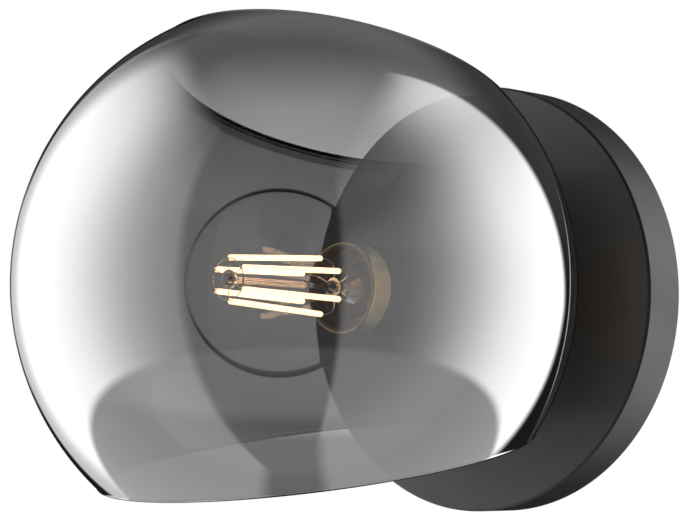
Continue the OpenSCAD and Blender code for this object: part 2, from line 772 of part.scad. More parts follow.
module lamp_driver() {
    color([0.16, 0.42, 0.25]) out_of_wall(cap_back_p + tip_h) {
        translate([-board_w / 2, -board_t / 2, 0]) cube([board_w, board_t, board_len]);
        translate([-board_w / 5, capacitor_r, board_t])
            cylinder(r = capacitor_r, h = board_len - 2 * board_t);
        translate([board_w / 5, -coil_r, board_t]) cylinder(r = coil_r, h = board_len / 2);
    }
}

// Half the opening angle of the neck, where it leaves the ball
neck_angle = 55;
ball_steps = 32;
neck_steps = 10;
neck_end_p = cap_front_p - collar_of_cap_h;
bulb_p = cap_front_p + neck_len + bulb_r * sin(neck_angle);
// Shares of the neck's length at which it and the stem inside it begin to flare
neck_flare_share = 0.1;
stem_flare_share = 0.2;
neck_flare_p = cap_front_p + neck_flare_share * neck_len;
// Pull of the curve between the neck and the ball, as a share of the neck's length
neck_pull_share = 0.4;

function bezier(a, b, c, d, t) =
    pow(1 - t, 3) * a + 3 * t * pow(1 - t, 2) * b + 3 * t * t * (1 - t) * c + pow(t, 3) * d;
// Outline of the ball and its neck, from the front of the ball to the end in the cap
function lamp_outline(ball_r, end_r) =
    let (join = [ball_r * cos(neck_angle), bulb_p - ball_r * sin(neck_angle)],
        pull = neck_pull_share * neck_len,
        lean = [join[0] - pull * sin(neck_angle), join[1] - pull * cos(neck_angle)],
        flare = [end_r, neck_flare_p], rise = [end_r, neck_flare_p + pull])
    concat(
        [for (i = [0 : ball_steps - 1])
            let (a = 90 - i * (90 + neck_angle) / ball_steps)
            [i == 0 ? 0 : ball_r * cos(a), bulb_p + ball_r * sin(a)]],
        [for (i = [0 : neck_steps]) bezier(join, lean, rise, flare, i / neck_steps)],
        [[end_r, neck_end_p]]);
function reversed(p) = [for (i = [len(p) - 1 : -1 : 0]) p[i]];

module lamp_glass() {
    color([0.80, 0.84, 0.86, 0.35]) out_of_wall() rotate_extrude() polygon(concat(
        lamp_outline(bulb_r, neck_r),
        reversed(lamp_outline(bulb_r - bulb_glass_t, neck_r - bulb_glass_t))));
}

// GLASS STEM
// A flared foot in the neck that narrows to a rod, with a button at the filaments' front end.
filament_shift = 1.6;
filament_back_p = bulb_p - filament_len / 2 + filament_shift;
filament_front_p = filament_back_p + filament_len;
stem_foot_r = neck_r - bulb_glass_t - slip_gap;
stem_wall_r = 0.8;
stem_rod_r = 1.4;
stem_waist_r = 3;
stem_pinch_p = filament_back_p - 2 * stem_waist_r;
stem_flare_p = cap_front_p + stem_flare_share * neck_len;
button_r = 2.8;
// Shares of the foot's radius, and of the way from the flare to the pinch
stem_outer_shares = [[0.72, 0.28], [0.42, 0.5]];
stem_inner_shares = [[0, 0.6], [0.3, 0.45], [0.6, 0.2]];
stem_waist_share = 0.75;
// Shares of the button's radius, from its back to its front
button_shares = [[0.8, -0.5], [1, 0], [0.7, 0.6], [0, 0.8]];

module lamp_stem() {
    shoulder = stem_pinch_p - stem_flare_p;
    outer = concat(
        [[stem_foot_r, neck_end_p], [stem_foot_r - stem_wall_r, stem_flare_p]],
        [for (s = stem_outer_shares) [s[0] * stem_foot_r, stem_flare_p + s[1] * shoulder]],
        [[stem_waist_r, stem_flare_p + stem_waist_share * shoulder], [stem_waist_r, stem_pinch_p],
        [stem_rod_r, stem_pinch_p + stem_waist_r], [stem_rod_r, filament_front_p - button_r]],
        [for (s = button_shares) [s[0] * button_r, filament_front_p + s[1] * button_r]]);
    inner = concat(
        [for (s = stem_inner_shares) [s[0] * stem_foot_r, stem_flare_p + s[1] * shoulder]],
        [[stem_foot_r - 2 * stem_wall_r, stem_flare_p], [stem_foot_r - stem_wall_r, neck_end_p]]);
    color([0.80, 0.84, 0.86, 0.5]) out_of_wall() rotate_extrude() polygon(concat(outer, inner));
}

function on_ring(r, i, p) =
    let (a = 90 + i * 360 / filament_count) [r * cos(a), r * sin(a), p];

module lamp_filaments() {
    color([1.0, 0.85, 0.55]) out_of_wall() for (i = [0 : filament_count - 1])
        rod(on_ring(filament_back_r, i, filament_back_p),
            on_ring(filament_front_r, i, filament_front_p), filament_r);
}

// WIRES
// Bent wires from the stem to each end of each filament, round the rod at both ends.
wire_r = 0.35;
wire_ring_t = 1.2;
wire_reach = 0.8;

module wire_spider(ring_r, rod_r, ring_p, end_r, end_p) {
    translate([0, 0, ring_p]) difference() {
        cylinder(r = ring_r, h = wire_ring_t);
        translate([0, 0, -over]) cylinder(r = rod_r + close_gap, h = wire_ring_t + 2 * over);
    }
    for (i = [0 : filament_count - 1])
        rod(on_ring(ring_r - wire_r, i, ring_p + wire_ring_t / 2), on_ring(end_r, i, end_p), wire_r);
}

module lamp_wires() {
    color([0.75, 0.74, 0.72]) out_of_wall() {
        wire_spider(stem_waist_r + wire_ring_t, stem_waist_r, stem_pinch_p - 2 * wire_ring_t,
            filament_back_r, filament_back_p - close_gap - wire_r);
        wire_spider(button_r + wire_ring_t, button_r, filament_front_p - wire_ring_t / 2,
            filament_front_r, filament_front_p + close_gap + wire_r);
    }
}

wall_bracket();
cable_grommet();
terminal_block();
terminal_sleeves();
terminal_screws();
block_screw();
earth_screw();
earth_tag();
canopy();
canopy_screws();
threaded_tube();
tube_bushes();
rear_nut();
lock_washer();
front_nut();
globe_seat();
rear_gasket();
globe();
front_gasket();
clamp_ring();
holder_cover();
holder_base();
holder_body();
holder_insert();
screw_shell();
centre_contact();
side_contact();
holder_screws();
brass_collar();
live_lead();
neutral_lead();
earth_lead();
lamp_tip();
lamp_insulator();
lamp_cap();
lamp_driver();
lamp_glass();
lamp_stem();
lamp_filaments();
lamp_wires();
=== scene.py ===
# %% [markdown]
# A globe wall sconce, dressed round its packed construction.
# The construction gives every piece its size and place. This lesson gives each piece the surface
# that the real one has: blown smoked glass with a mirror film, powder coat, turned brass and a lit lamp.

# %% Load the frame
import math
import bmesh
import bpy
from mathutils import Euler, Matrix, Vector


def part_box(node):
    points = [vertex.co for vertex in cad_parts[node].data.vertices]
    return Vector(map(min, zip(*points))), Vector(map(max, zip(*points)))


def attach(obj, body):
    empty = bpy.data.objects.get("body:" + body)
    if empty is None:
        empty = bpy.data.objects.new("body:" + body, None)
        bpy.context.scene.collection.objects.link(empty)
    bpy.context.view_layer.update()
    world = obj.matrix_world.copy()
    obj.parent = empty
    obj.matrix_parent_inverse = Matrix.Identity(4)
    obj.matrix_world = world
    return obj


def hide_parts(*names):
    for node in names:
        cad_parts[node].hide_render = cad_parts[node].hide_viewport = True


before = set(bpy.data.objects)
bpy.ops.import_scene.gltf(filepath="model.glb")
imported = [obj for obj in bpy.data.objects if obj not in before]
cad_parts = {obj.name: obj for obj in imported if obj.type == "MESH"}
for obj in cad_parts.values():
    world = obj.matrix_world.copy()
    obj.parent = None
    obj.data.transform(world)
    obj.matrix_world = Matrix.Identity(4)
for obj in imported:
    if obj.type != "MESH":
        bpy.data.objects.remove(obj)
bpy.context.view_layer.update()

mm = 0.001

# %% [markdown]
# Sizes. Every round piece of the sconce sits on one axis that points out of the wall, along -Y.
# So a piece is told by three numbers: how far its back and its front are from the wall, and its radius.
# They could be typed again here, but reading them from the construction keeps the two together.

# %% Sizes from the construction
def span(node):
    """Back and front of a node as distances from the wall, and its radius."""
    low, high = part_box(node)
    return -high.y, -low.y, high.x

canopy_front, canopy_r = span("canopy")[1:]
cover_back, cover_front, cover_r = span("holder_cover")
collar_back, collar_front, collar_r = span("brass_collar")
clamp_back, clamp_front = span("clamp_ring")[:2]
tube_r = span("threaded_tube")[2]
cap_back, cap_front, cap_r = span("lamp_cap")
lamp_back, lamp_front, bulb_r = span("lamp_glass")
wall_of_glass = 3.3 * mm
globe_r = 120 * mm
globe_middle = Vector((0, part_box("globe")[0].y + globe_r, 0))
print("globe's middle is", round(-globe_middle.y / mm, 2), "mm from the wall")

# %% [markdown]
# Node trees are written as text here. Each call adds one node, links the sockets that are given
# and sets the values that are given, so a tree reads like a formula from the inside out.

# %% A short way to write node trees
class Nodes:
    """Adds nodes to a tree. Inputs may be values or other nodes' output sockets."""

    def __init__(self, tree):
        self.tree = tree

    def add(self, kind, inputs=None, **settings):
        node = self.tree.nodes.new(kind)
        for name, value in settings.items():
            setattr(node, name, value)
        for key, value in (inputs or {}).items():
            if isinstance(value, bpy.types.NodeSocket):
                self.tree.links.new(value, node.inputs[key])
            else:
                node.inputs[key].default_value = value
        return node

    def math(self, operation, *values):
        node = self.add("ShaderNodeMath", dict(enumerate(values)), operation=operation)
        return node.outputs[0]

    def plus(self, a, b):
        return self.math("ADD", a, b)

    def times(self, a, b):
        return self.math("MULTIPLY", a, b)

    def over(self, a, b):
        return self.math("DIVIDE", a, b)

    def larger(self, a, b):
        return self.math("MAXIMUM", a, b)

    def mix(self, factor, a, b):
        """A number between a and b."""
        return self.add("ShaderNodeMix", {"Factor": factor, "A": a, "B": b}, data_type="FLOAT").outputs[0]

    def blend(self, factor, a, b):
        """A colour between a and b."""
        node = self.add("ShaderNodeMix", {"Factor": factor, "A": a, "B": b}, data_type="RGBA")
        return node.outputs["Result"]

    def mix_shaders(self, factor, a, b):
        return self.add("ShaderNodeMixShader", {0: factor, 1: a, 2: b}).outputs[0]

    def fade(self, value, start, end, low=0.0, high=1.0):
        """Smoothly from low, where value is at start, to high, where it is at end."""
        inputs = {"Value": value, "From Min": start, "From Max": end, "To Min": low, "To Max": high}
        return self.add("ShaderNodeMapRange", inputs, interpolation_type="SMOOTHSTEP").outputs[0]

    def named(self, name):
        """A number that the geometry carries under this name."""
        return self.add("GeometryNodeInputNamedAttribute", {"Name": name}, data_type="FLOAT").outputs[0]

    def store(self, geometry, name, value):
        inputs = {"Geometry": geometry, "Name": name, "Value": value}
        return self.add("GeometryNodeStoreNamedAttribute", inputs, data_type="FLOAT",
                        domain="POINT").outputs[0]

print("words for node trees:", ", ".join(word for word in vars(Nodes) if not word.startswith("_")))

# %% [markdown]
# Finishes. A real surface is never one flat colour: powder coat has a fine orange peel, turned brass
# has rings, zinc plate is cloudy. Each finish is noise of the right size in the piece's own
# coordinates, which drives colour, roughness and a bump of a few hundredths of a millimetre.

# %% A finish with grain
fine_share, broad_scale = 0.6, 0.05

def darker_and_lighter(colour, shift):
    return [(*[min(1, c * (1 + s)) for c in colour], 1) for s in (-shift, shift)]

def finish(name, colour, roughness, metallic=0.0, shift=0.1, grain=0.8 * mm, stretch=(1, 1, 1),
           uneven=0.06, bump=0.02 * mm, coat=0.0, specular=0.5):
    """A procedural surface. grain is the size of its spots, shift how much their colour differs."""
    material = bpy.data.materials.new(name)
    material.use_nodes = True
    material.diffuse_color = (*colour, 1)
    nodes = Nodes(material.node_tree)
    principled = material.node_tree.nodes["Principled BSDF"]
    place = nodes.add("ShaderNodeTexCoord").outputs["Object"]
    place = nodes.add("ShaderNodeMapping", {"Vector": place, "Scale": stretch}).outputs[0]
    fine = nodes.add("ShaderNodeTexNoise", {"Vector": place, "Scale": 1 / grain, "Detail": 3.0})
    broad = nodes.add("ShaderNodeTexNoise", {"Vector": place, "Scale": broad_scale / grain, "Detail": 2.0})
    both = nodes.plus(nodes.times(fine.outputs[0], fine_share), nodes.times(broad.outputs[0], 1 - fine_share))
    tones = nodes.blend(both, *darker_and_lighter(colour, shift))
    rough = nodes.fade(both, 0.3, 0.7, roughness - uneven, roughness + uneven)
    lift = nodes.add("ShaderNodeBump", {"Height": fine.outputs[0], "Distance": bump, "Strength": 1.0})
    for socket, source in {"Base Color": tones, "Roughness": rough, "Normal": lift.outputs[0]}.items():
        material.node_tree.links.new(source, principled.inputs[socket])
    principled.inputs["Metallic"].default_value = metallic
    principled.inputs["Coat Weight"].default_value = coat
    principled.inputs["Specular IOR Level"].default_value = specular
    return material

powder_coat = finish("black_powder_coat", (0.025, 0.025, 0.026), 0.42, grain=0.9 * mm, bump=0.03 * mm,
                     specular=0.7)
print("first finish:", powder_coat.name)

# %% [markdown]
# The other finishes differ in colour, gloss and grain only. Metals have no colour of their own under
# the gloss, so their colour is the mirror's. The collar's noise is drawn out round the axis, because
# a lathe's tool leaves rings.

# %% The opaque finishes
black_lacquer = finish("black_satin_lacquer", (0.014, 0.014, 0.015), 0.36, grain=0.5 * mm, bump=0.005 * mm)
rubber = finish("moulded_rubber", (0.018, 0.018, 0.018), 0.75, grain=0.4 * mm, bump=0.03 * mm)
zinc_plate = finish("zinc_plate", (0.62, 0.63, 0.65), 0.38, metallic=1.0, grain=0.9 * mm,
                    shift=0.05, uneven=0.05, bump=0.001 * mm)
stamped_brass = finish("stamped_brass", (0.72, 0.54, 0.28), 0.30, metallic=1.0, grain=1.2 * mm,
                       shift=0.07, uneven=0.07, bump=0.004 * mm)
collar_brass = finish("satin_turned_brass", (0.98, 0.74, 0.42), 0.36, metallic=1.0, grain=0.35 * mm,
                      stretch=(0.02, 1, 0.02), shift=0.12, uneven=0.08, bump=0.006 * mm)
# The collar's inside: brass darkened as painted shade, where the lit lamp would make it bright.
collar_painted_shade = finish("brass_with_painted_shade", (0.16, 0.12, 0.09), 0.55, metallic=1.0, grain=0.6 * mm,
                       bump=0.004 * mm)
bronze = finish("sprung_bronze", (0.74, 0.52, 0.30), 0.26, metallic=1.0, grain=1.0 * mm, bump=0.003 * mm)
nickel = finish("rolled_nickel", (0.66, 0.64, 0.60), 0.22, metallic=1.0, grain=1.5 * mm,
                shift=0.05, uneven=0.06, bump=0.004 * mm)
solder = finish("tin_solder", (0.58, 0.58, 0.57), 0.34, metallic=1.0, grain=0.9 * mm, bump=0.03 * mm)
steatite = finish("steatite", (0.80, 0.77, 0.69), 0.55, grain=0.7 * mm, shift=0.04, bump=0.02 * mm)
polyamide = finish("white_polyamide", (0.78, 0.76, 0.70), 0.42, grain=0.6 * mm, shift=0.03, bump=0.01 * mm)
black_plastic = finish("black_plastic", (0.020, 0.020, 0.021), 0.48, grain=0.5 * mm, bump=0.02 * mm)
vitrite = finish("black_vitrite", (0.008, 0.008, 0.012), 0.08, grain=1.0 * mm, uneven=0.03, bump=0.004 * mm)
board = finish("printed_board", (0.02, 0.12, 0.05), 0.40, grain=1.6 * mm, shift=0.25, bump=0.02 * mm)
bright_wire = finish("bright_wire", (0.86, 0.82, 0.76), 0.28, metallic=1.0, grain=0.4 * mm, bump=0.001 * mm)
brown_lead = finish("brown_insulation", (0.15, 0.06, 0.025), 0.30, grain=1.0 * mm, bump=0.005 * mm)
blue_lead = finish("blue_insulation", (0.03, 0.09, 0.36), 0.30, grain=1.0 * mm, bump=0.005 * mm)
green_lead = finish("green_insulation", (0.18, 0.34, 0.04), 0.30, grain=1.0 * mm, bump=0.005 * mm)
print("finishes so far:", len(bpy.data.materials))

# %% [markdown]
# Turned pieces. The drum, the cover, the collar, the seals and the lamp's own parts are all turned,
# spun or blown round the axis, so one geometry tree makes them all from a drawn half section.
# The tree rounds the section's corners, carries it round a circle and merges what meets on the axis.
# A revolve typed in mesh code would do the same; a tree shows each step and takes any section.

# %% Open and close a geometry tree
def open_tree(name, inputs):
    """A geometry tree with its named inputs, the last of them the finish. Gives its nodes and inputs."""
    tree = bpy.data.node_groups.new(name, "GeometryNodeTree")
    new_socket = tree.interface.new_socket
    new_socket("Geometry", in_out="INPUT", socket_type="NodeSocketGeometry")
    for title, kind, value in inputs:
        new_socket(title, in_out="INPUT", socket_type="NodeSocket" + kind).default_value = value
    new_socket("Finish", in_out="INPUT", socket_type="NodeSocketMaterial")
    new_socket("Geometry", in_out="OUTPUT", socket_type="NodeSocketGeometry")
    nodes = Nodes(tree)
    return nodes, nodes.add("NodeGroupInput").outputs

def close_tree(nodes, geometry, material):
    """Makes instances real, sets the finish and gives the tree."""
    whole = nodes.add("GeometryNodeRealizeInstances", {"Geometry": geometry}).outputs[0]
    whole = nodes.add("GeometryNodeSetMaterial", {"Geometry": whole, "Material": material}).outputs[0]
    nodes.add("NodeGroupOutput", {"Geometry": whole})
    print("tree", nodes.tree.name, "has", len(nodes.tree.nodes), "nodes")
    return nodes.tree

# %% The tree that turns a section
merge_on_axis = 0.001 * mm

def turning_tree():
    nodes, given = open_tree("turned_piece", [
        ("Steps round", "Int", 128), ("Corner steps", "Int", 4), ("Thread pitch", "Float", 1.0)])
    section = nodes.add("GeometryNodeMeshToCurve", {"Mesh": given["Geometry"]}).outputs[0]
    section = nodes.add("GeometryNodeFilletCurve", {
        "Curve": section, "Radius": nodes.named("corner"), "Count": given["Corner steps"],
        "Limit Radius": True}, mode="POLY").outputs[0]
    where = nodes.add("ShaderNodeSeparateXYZ", {0: nodes.add("GeometryNodeInputPosition").outputs[0]})
    section = nodes.store(section, "radius_here", where.outputs["X"])
    section = nodes.store(section, "out_here", where.outputs["Y"])
    circle = nodes.add("GeometryNodeCurvePrimitiveCircle", {"Resolution": given["Steps round"]},
                       mode="RADIUS").outputs["Curve"]
    index = nodes.add("GeometryNodeInputIndex").outputs[0]
    turn = nodes.over(nodes.times(index, math.tau), given["Steps round"])
    circle = nodes.store(circle, "turn_here", turn)
    skin = nodes.add("GeometryNodeCurveToMesh", {"Curve": circle, "Profile Curve": section}).outputs[0]
    out, turned = nodes.named("out_here"), nodes.named("turn_here")
    climbed = nodes.times(nodes.over(out, given["Thread pitch"]), math.tau)
    wave = nodes.times(nodes.math("COSINE", nodes.math("SUBTRACT", climbed, turned)), nodes.named("thread"))
    radius = nodes.plus(nodes.named("radius_here"), wave)
    place = nodes.add("ShaderNodeCombineXYZ", {
        "X": nodes.times(radius, nodes.math("COSINE", turned)), "Y": nodes.times(out, -1.0),
        "Z": nodes.times(radius, nodes.math("SINE", turned))}).outputs[0]
    skin = nodes.add("GeometryNodeSetPosition", {"Geometry": skin, "Position": place}).outputs[0]
    skin = nodes.add("GeometryNodeMergeByDistance", {"Geometry": skin, "Distance": merge_on_axis}).outputs[0]
    skin = nodes.add("GeometryNodeSetShadeSmooth", {"Geometry": skin, "Shade Smooth": True}).outputs[0]
    return close_tree(nodes, skin, given["Finish"])

turned_piece = turning_tree()

# %% [markdown]
# Running a tree. The tree's modifier is put on a draft that holds the drawn section, the evaluated
# result is copied as a plain mesh, and the draft goes. So no piece depends on a live modifier.

# %% Run a tree
def run_tree(name, start_mesh, tree, inputs):
    """A plain mesh object that holds what the tree makes of start_mesh with these inputs."""
    draft = bpy.data.objects.new(name + "_draft", start_mesh)
    bpy.context.scene.collection.objects.link(draft)
    modifier = draft.modifiers.new("tree", "NODES")
    modifier.node_group = tree
    sockets = {s.name: s.identifier for s in tree.interface.items_tree
               if s.item_type == "SOCKET" and s.in_out == "INPUT"}
    for title, value in inputs.items():
        modifier[sockets[title]] = value
    bpy.context.view_layer.update()
    evaluated = draft.evaluated_get(bpy.context.evaluated_depsgraph_get())
    mesh = bpy.data.meshes.new_from_object(evaluated)
    draft.modifiers.remove(modifier)
    bpy.data.objects.remove(draft)
    mesh.name = name
    return link(name, mesh)

def link(name, mesh):
    piece = bpy.data.objects.new(name, mesh)
    bpy.context.scene.collection.objects.link(piece)
    return piece

inputs = [s.name for s in turned_piece.interface.items_tree if s.in_out == "INPUT"]
print(turned_piece.name, "asks for:", ", ".join(inputs))

# %% [markdown]
# Clean meshes. Points that meet are merged and faces are turned outwards, because glass and bumps go
# wrong on a face that looks inwards. A flat beside a small round would shade like a cushion, so corner
# normals lean to the larger faces. Split edges would cure that too, but would draw a line at each round.

# %% Faces outwards, and even light on flats beside round corners
merge_near, merge_edge, flat_weight = 0.0005 * mm, 0.0002 * mm, 60

def face_outwards(piece):
    shape = bmesh.new()
    shape.from_mesh(piece.data)
    bmesh.ops.remove_doubles(shape, verts=shape.verts, dist=merge_near)
    bmesh.ops.dissolve_degenerate(shape, edges=shape.edges, dist=merge_edge)
    bmesh.ops.recalc_face_normals(shape, faces=shape.faces)
    shape.to_mesh(piece.data)
    shape.free()

def apply_modifiers(piece):
    evaluated = piece.evaluated_get(bpy.context.evaluated_depsgraph_get())
    mesh = bpy.data.meshes.new_from_object(evaluated)
    piece.modifiers.clear()
    piece.data = mesh
    return piece

def even_normals(piece):
    """Corner normals lean to the larger faces, so that a flat stays flat beside a small round."""
    piece.data.shade_smooth()
    weighted = piece.modifiers.new("weighted", "WEIGHTED_NORMAL")
    weighted.weight = flat_weight
    return apply_modifiers(piece)

print("points nearer than", merge_near / mm, "mm are merged")

# %% [markdown] From a drawn section to a settled piece. A section is a list of points, each with its
# own corner round and, on the lamp's cap, a depth of thread.

# %% Turn a section and settle a piece
def turned(name, section, material, corner=0.15 * mm, steps=128, pitch=1 * mm, closed=True, rounds=4):
    """Turns a section of points (radius, distance from the wall, corner, thread depth). The last
    two may be left out."""
    mesh = bpy.data.meshes.new(name + "_section")
    points = [(p[0], p[1], 0) for p in section]
    edges = [(i, i + 1) for i in range(len(points) - 1)] + ([(len(points) - 1, 0)] if closed else [])
    mesh.from_pydata(points, edges, [])
    corners = mesh.attributes.new("corner", "FLOAT", "POINT")
    threads = mesh.attributes.new("thread", "FLOAT", "POINT")
    for i, p in enumerate(section):
        corners.data[i].value = p[2] if len(p) > 2 else corner
        threads.data[i].value = p[3] if len(p) > 3 else 0.0
    piece = run_tree(name, mesh, turned_piece, {
        "Steps round": steps, "Corner steps": rounds, "Thread pitch": pitch, "Finish": material})
    face_outwards(piece)
    print(name, "has", len(piece.data.polygons), "faces")
    return piece

def settle(piece, body, slot, *nodes):
    """The piece rides on its body and stands for these nodes. slot is not used."""
    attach(piece, body)
    if nodes:
        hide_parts(*nodes)
    return piece

# %% [markdown]
# The drum canopy. The real one is spun from sheet, with a narrow bevel round its face, and is powder
# coated. A drum can be a scaled cylinder, but then its edges stay razor sharp and catch no light.
# The section below has the sheet's thickness, the bevel, and corners rounded as the coat rounds them.

# %% The drum canopy
sheet = 1.2 * mm
bevel = 1.0 * mm
coat_round = 0.35 * mm
tube_gap = 0.15 * mm
tube_hole_r = tube_r + tube_gap
canopy = turned("canopy_drum", [
    (tube_hole_r, canopy_front), (canopy_r - bevel, canopy_front, coat_round),
    (canopy_r, canopy_front - bevel, coat_round), (canopy_r, 0, coat_round), (canopy_r - sheet, 0),
    (canopy_r - sheet, canopy_front - sheet, coat_round), (tube_hole_r, canopy_front - sheet)],
    powder_coat, steps=256)
even_normals(canopy)
settle(canopy, "fixture", "canopy_black", "canopy")

# %% [markdown]
# The cover tube and the brass collar. The cover is lacquered and hides the lampholder, and the collar
# slides into its end. It is turned brass, and its inside is darkened brass as painted shade. Both could be
# cylinders with a Solidify modifier, but the collar has a lip and a stepped skirt, so both are turned from
# their sections.

# %% The cover tube and the collar
cover_wall, cover_plate = 0.9 * mm, 1.5 * mm
cover_round = 0.25 * mm
cover_gap = 0.05 * mm
cover_hole_r = tube_r + cover_gap
cover = turned("cover_tube", [
    (cover_hole_r, cover_back), (cover_r, cover_back), (cover_r, cover_front, cover_round),
    (cover_r - cover_wall, cover_front, cover_round), (cover_r - cover_wall, cover_back + cover_plate),
    (cover_hole_r, cover_back + cover_plate)], black_lacquer)
even_normals(cover)
settle(cover, "fixture", "black_metal", "holder_cover")

collar_wall, collar_step = 1.6 * mm, 1.0 * mm
skirt_gap = 0.15 * mm
skirt_out_r = cover_r - cover_wall - skirt_gap
skirt_in_r = 17.25 * mm
step_round, lip_round = 0.3 * mm, 0.5 * mm
collar = turned("collar_brass", [
    (skirt_in_r, collar_back), (skirt_out_r, collar_back), (skirt_out_r, cover_front),
    (collar_r, cover_front, step_round), (collar_r, collar_front, lip_round),
    (collar_r - collar_wall, collar_front, lip_round), (collar_r - collar_wall, cover_front + collar_step),
    (skirt_in_r, cover_front + collar_step)], collar_brass)
even_normals(collar)
# Faces inside the middle of the lip get the darker brass, which is painted shade.
collar.data.materials.append(collar_painted_shade)
lip_middle_r = collar_r - collar_wall / 2
for face in collar.data.polygons:
    face.material_index = int(math.hypot(face.center.x, face.center.z) < lip_middle_r)
settle(collar, "fixture", "collar_brass", "brass_collar")
print("the collar stands", round((collar_front - cover_front) / mm, 1), "mm out of its cover")

# %% [markdown]
# The globe. The real one is blown, cut open at the top and the bottom, and its rims are ground and
# polished round. Cutting a finished ball with a plane leaves ragged slivers along the cut, and they
# show in a mirror. Here the ball is laid out so that its rows follow both rims: on each meridian the
# rows run from one rim to the other, over the round of the rim, and back along the inner face.

# %% Where a meridian meets a rim
top_cut, top_lean = 90.7 * mm, math.radians(18)
bottom_cut, bottom_lean = 76 * mm, math.radians(10.4)
meridians, rows, rim_rows = 288, 112, 8
half_wall = wall_of_glass / 2

def rim_angle(around, radius, cut, lean):
    """Angle from straight up at which a meridian of a ball meets the plane of a leaning cut."""
    across = math.sin(lean) * math.sin(around)
    upright = math.cos(lean)
    return math.atan2(across, upright) + math.acos(cut / radius / math.hypot(across, upright))

def ball_point(around, down, radius):
    return Vector((radius * math.sin(down) * math.cos(around), radius * math.sin(down) * math.sin(around),
                   radius * math.cos(down)))

first_turn = math.degrees(rim_angle(0, globe_r, top_cut, top_lean))
print("the upper cut meets the first meridian", round(first_turn, 1), "degrees from the top")

# %% The globe's mesh
def meridian(around):
    """Down the outer face, over the lower rim, up the inner face and over the upper rim."""
    walls = []
    for radius in (globe_r, globe_r - wall_of_glass):
        top = rim_angle(around, radius, top_cut - half_wall, top_lean)
        bottom = math.pi - rim_angle(around, radius, bottom_cut - half_wall, bottom_lean)
        walls.append([ball_point(around, top + (bottom - top) * i / rows, radius) for i in range(rows + 1)])
    outer, inner = walls[0], walls[1][::-1]
    loop = []
    for wall, other, lean, up in ((outer, inner, bottom_lean, -1), (inner, outer, top_lean, 1)):
        loop += wall
        middle, arm = (wall[-1] + other[0]) / 2, (wall[-1] - other[0]) / 2
        out = Vector((0, math.sin(lean), up * math.cos(lean)))
        for i in range(1, rim_rows):
            turn = math.pi * i / rim_rows
            loop.append(middle + arm * math.cos(turn) + out * half_wall * math.sin(turn))
    return loop

def globe_mesh():
    loops = [meridian(math.tau * m / meridians) for m in range(meridians)]
    count = len(loops[0])
    faces = []
    for m in range(meridians):
        here, there = m * count, (m + 1) % meridians * count
        for i in range(count):
            j = (i + 1) % count
            faces.append((here + i, here + j, there + j, there + i))
    mesh = bpy.data.meshes.new("globe_glass")
    mesh.from_pydata([point for loop in loops for point in loop], [], faces)
    mesh.transform(Matrix.Translation(globe_middle))
    return mesh

globe = link("globe_glass", globe_mesh())
face_outwards(globe)
print("globe has", len(globe.data.polygons), "faces")

# %% [markdown]
# The hole at the back. The real globe is drilled where the cover passes. The rows could be led round
# the hole too, but nobody sees its edge between the gaskets, so a turned plug is cut out of the mesh.
# The cut disturbs the normals near it. Those of both faces are set again, straight from the ball's
# middle, and so the mirror has no dents.

# %% The hole that the cover passes through
def cut_away(piece, cutter):
    """Takes the cutter's shape out of the piece."""
    modifier = piece.modifiers.new("cut", "BOOLEAN")
    modifier.operation, modifier.object, modifier.solver = "DIFFERENCE", cutter, "EXACT"
    apply_modifiers(piece)
    bpy.data.objects.remove(cutter)

hole_r = 20.8 * mm
on_face = 0.01 * mm
hole_cutter = turned("hole_cutter", [(0, canopy_front), (hole_r, canopy_front), (hole_r, clamp_front),
                                     (0, clamp_front)], black_lacquer, corner=0, closed=False)
cut_away(globe, hole_cutter)

def ball_normals(piece, middle, radii):
    """Normals straight out of or into the ball, wherever a point lies on one of its two faces."""
    mesh = piece.data
    mesh.shade_smooth()
    normals = [Vector(n.vector) for n in mesh.corner_normals]
    for i, loop in enumerate(mesh.loops):
        arm = mesh.vertices[loop.vertex_index].co - middle
        for radius, sense in radii:
            if abs(arm.length - radius) < on_face:
                normals[i] = sense * arm.normalized()
    mesh.normals_split_custom_set(normals)

ball_normals(globe, globe_middle, ((globe_r, 1), (globe_r - wall_of_glass, -1)))
print("globe with its hole has", len(globe.data.polygons), "faces")

# %% [markdown]
# Smoked mirror glass. The real globe is clear glass with a thin metal film on its outer face. The film
# mirrors about a third of the light that meets it head on and far more at a slant, lets about a third
# through and keeps the rest. So the outer face is a mix of a mirror and tinted clear glass, weighed by
# the angle. Refraction would keep all direct light out of the globe, so the rays that only ask what
# light reaches a point pass straight through, dimmed as the glass dims them.

# %% A glass finish
melt_shift, melt_grain = 0.03, 25 * mm
film_silver, film_back = (0.97, 0.97, 0.98, 1), (0.03, 0.03, 0.03, 1)
# The near-black of the painted dark contour that glass shows where the eye looks along its wall.
painted_contour_dark = (0.01, 0.01, 0.01, 1)

def slant_to_film(nodes, ior):
    """Whether a ray meets the film from inside the glass, and the cosine of its slant outside it."""
    inside = nodes.add("ShaderNodeNewGeometry").outputs["Backfacing"]
    facing = nodes.add("ShaderNodeLayerWeight", {"Blend": 0.5}).outputs["Facing"]
    cosine = nodes.math("SUBTRACT", 1.0, facing)
    sine_squared = nodes.math("SUBTRACT", 1.0, nodes.times(cosine, cosine))
    bent = nodes.math("SUBTRACT", 1.0, nodes.times(sine_squared, ior * ior))
    bent = nodes.math("SQRT", nodes.larger(bent, 0.0))
    return inside, nodes.mix(inside, cosine, bent)

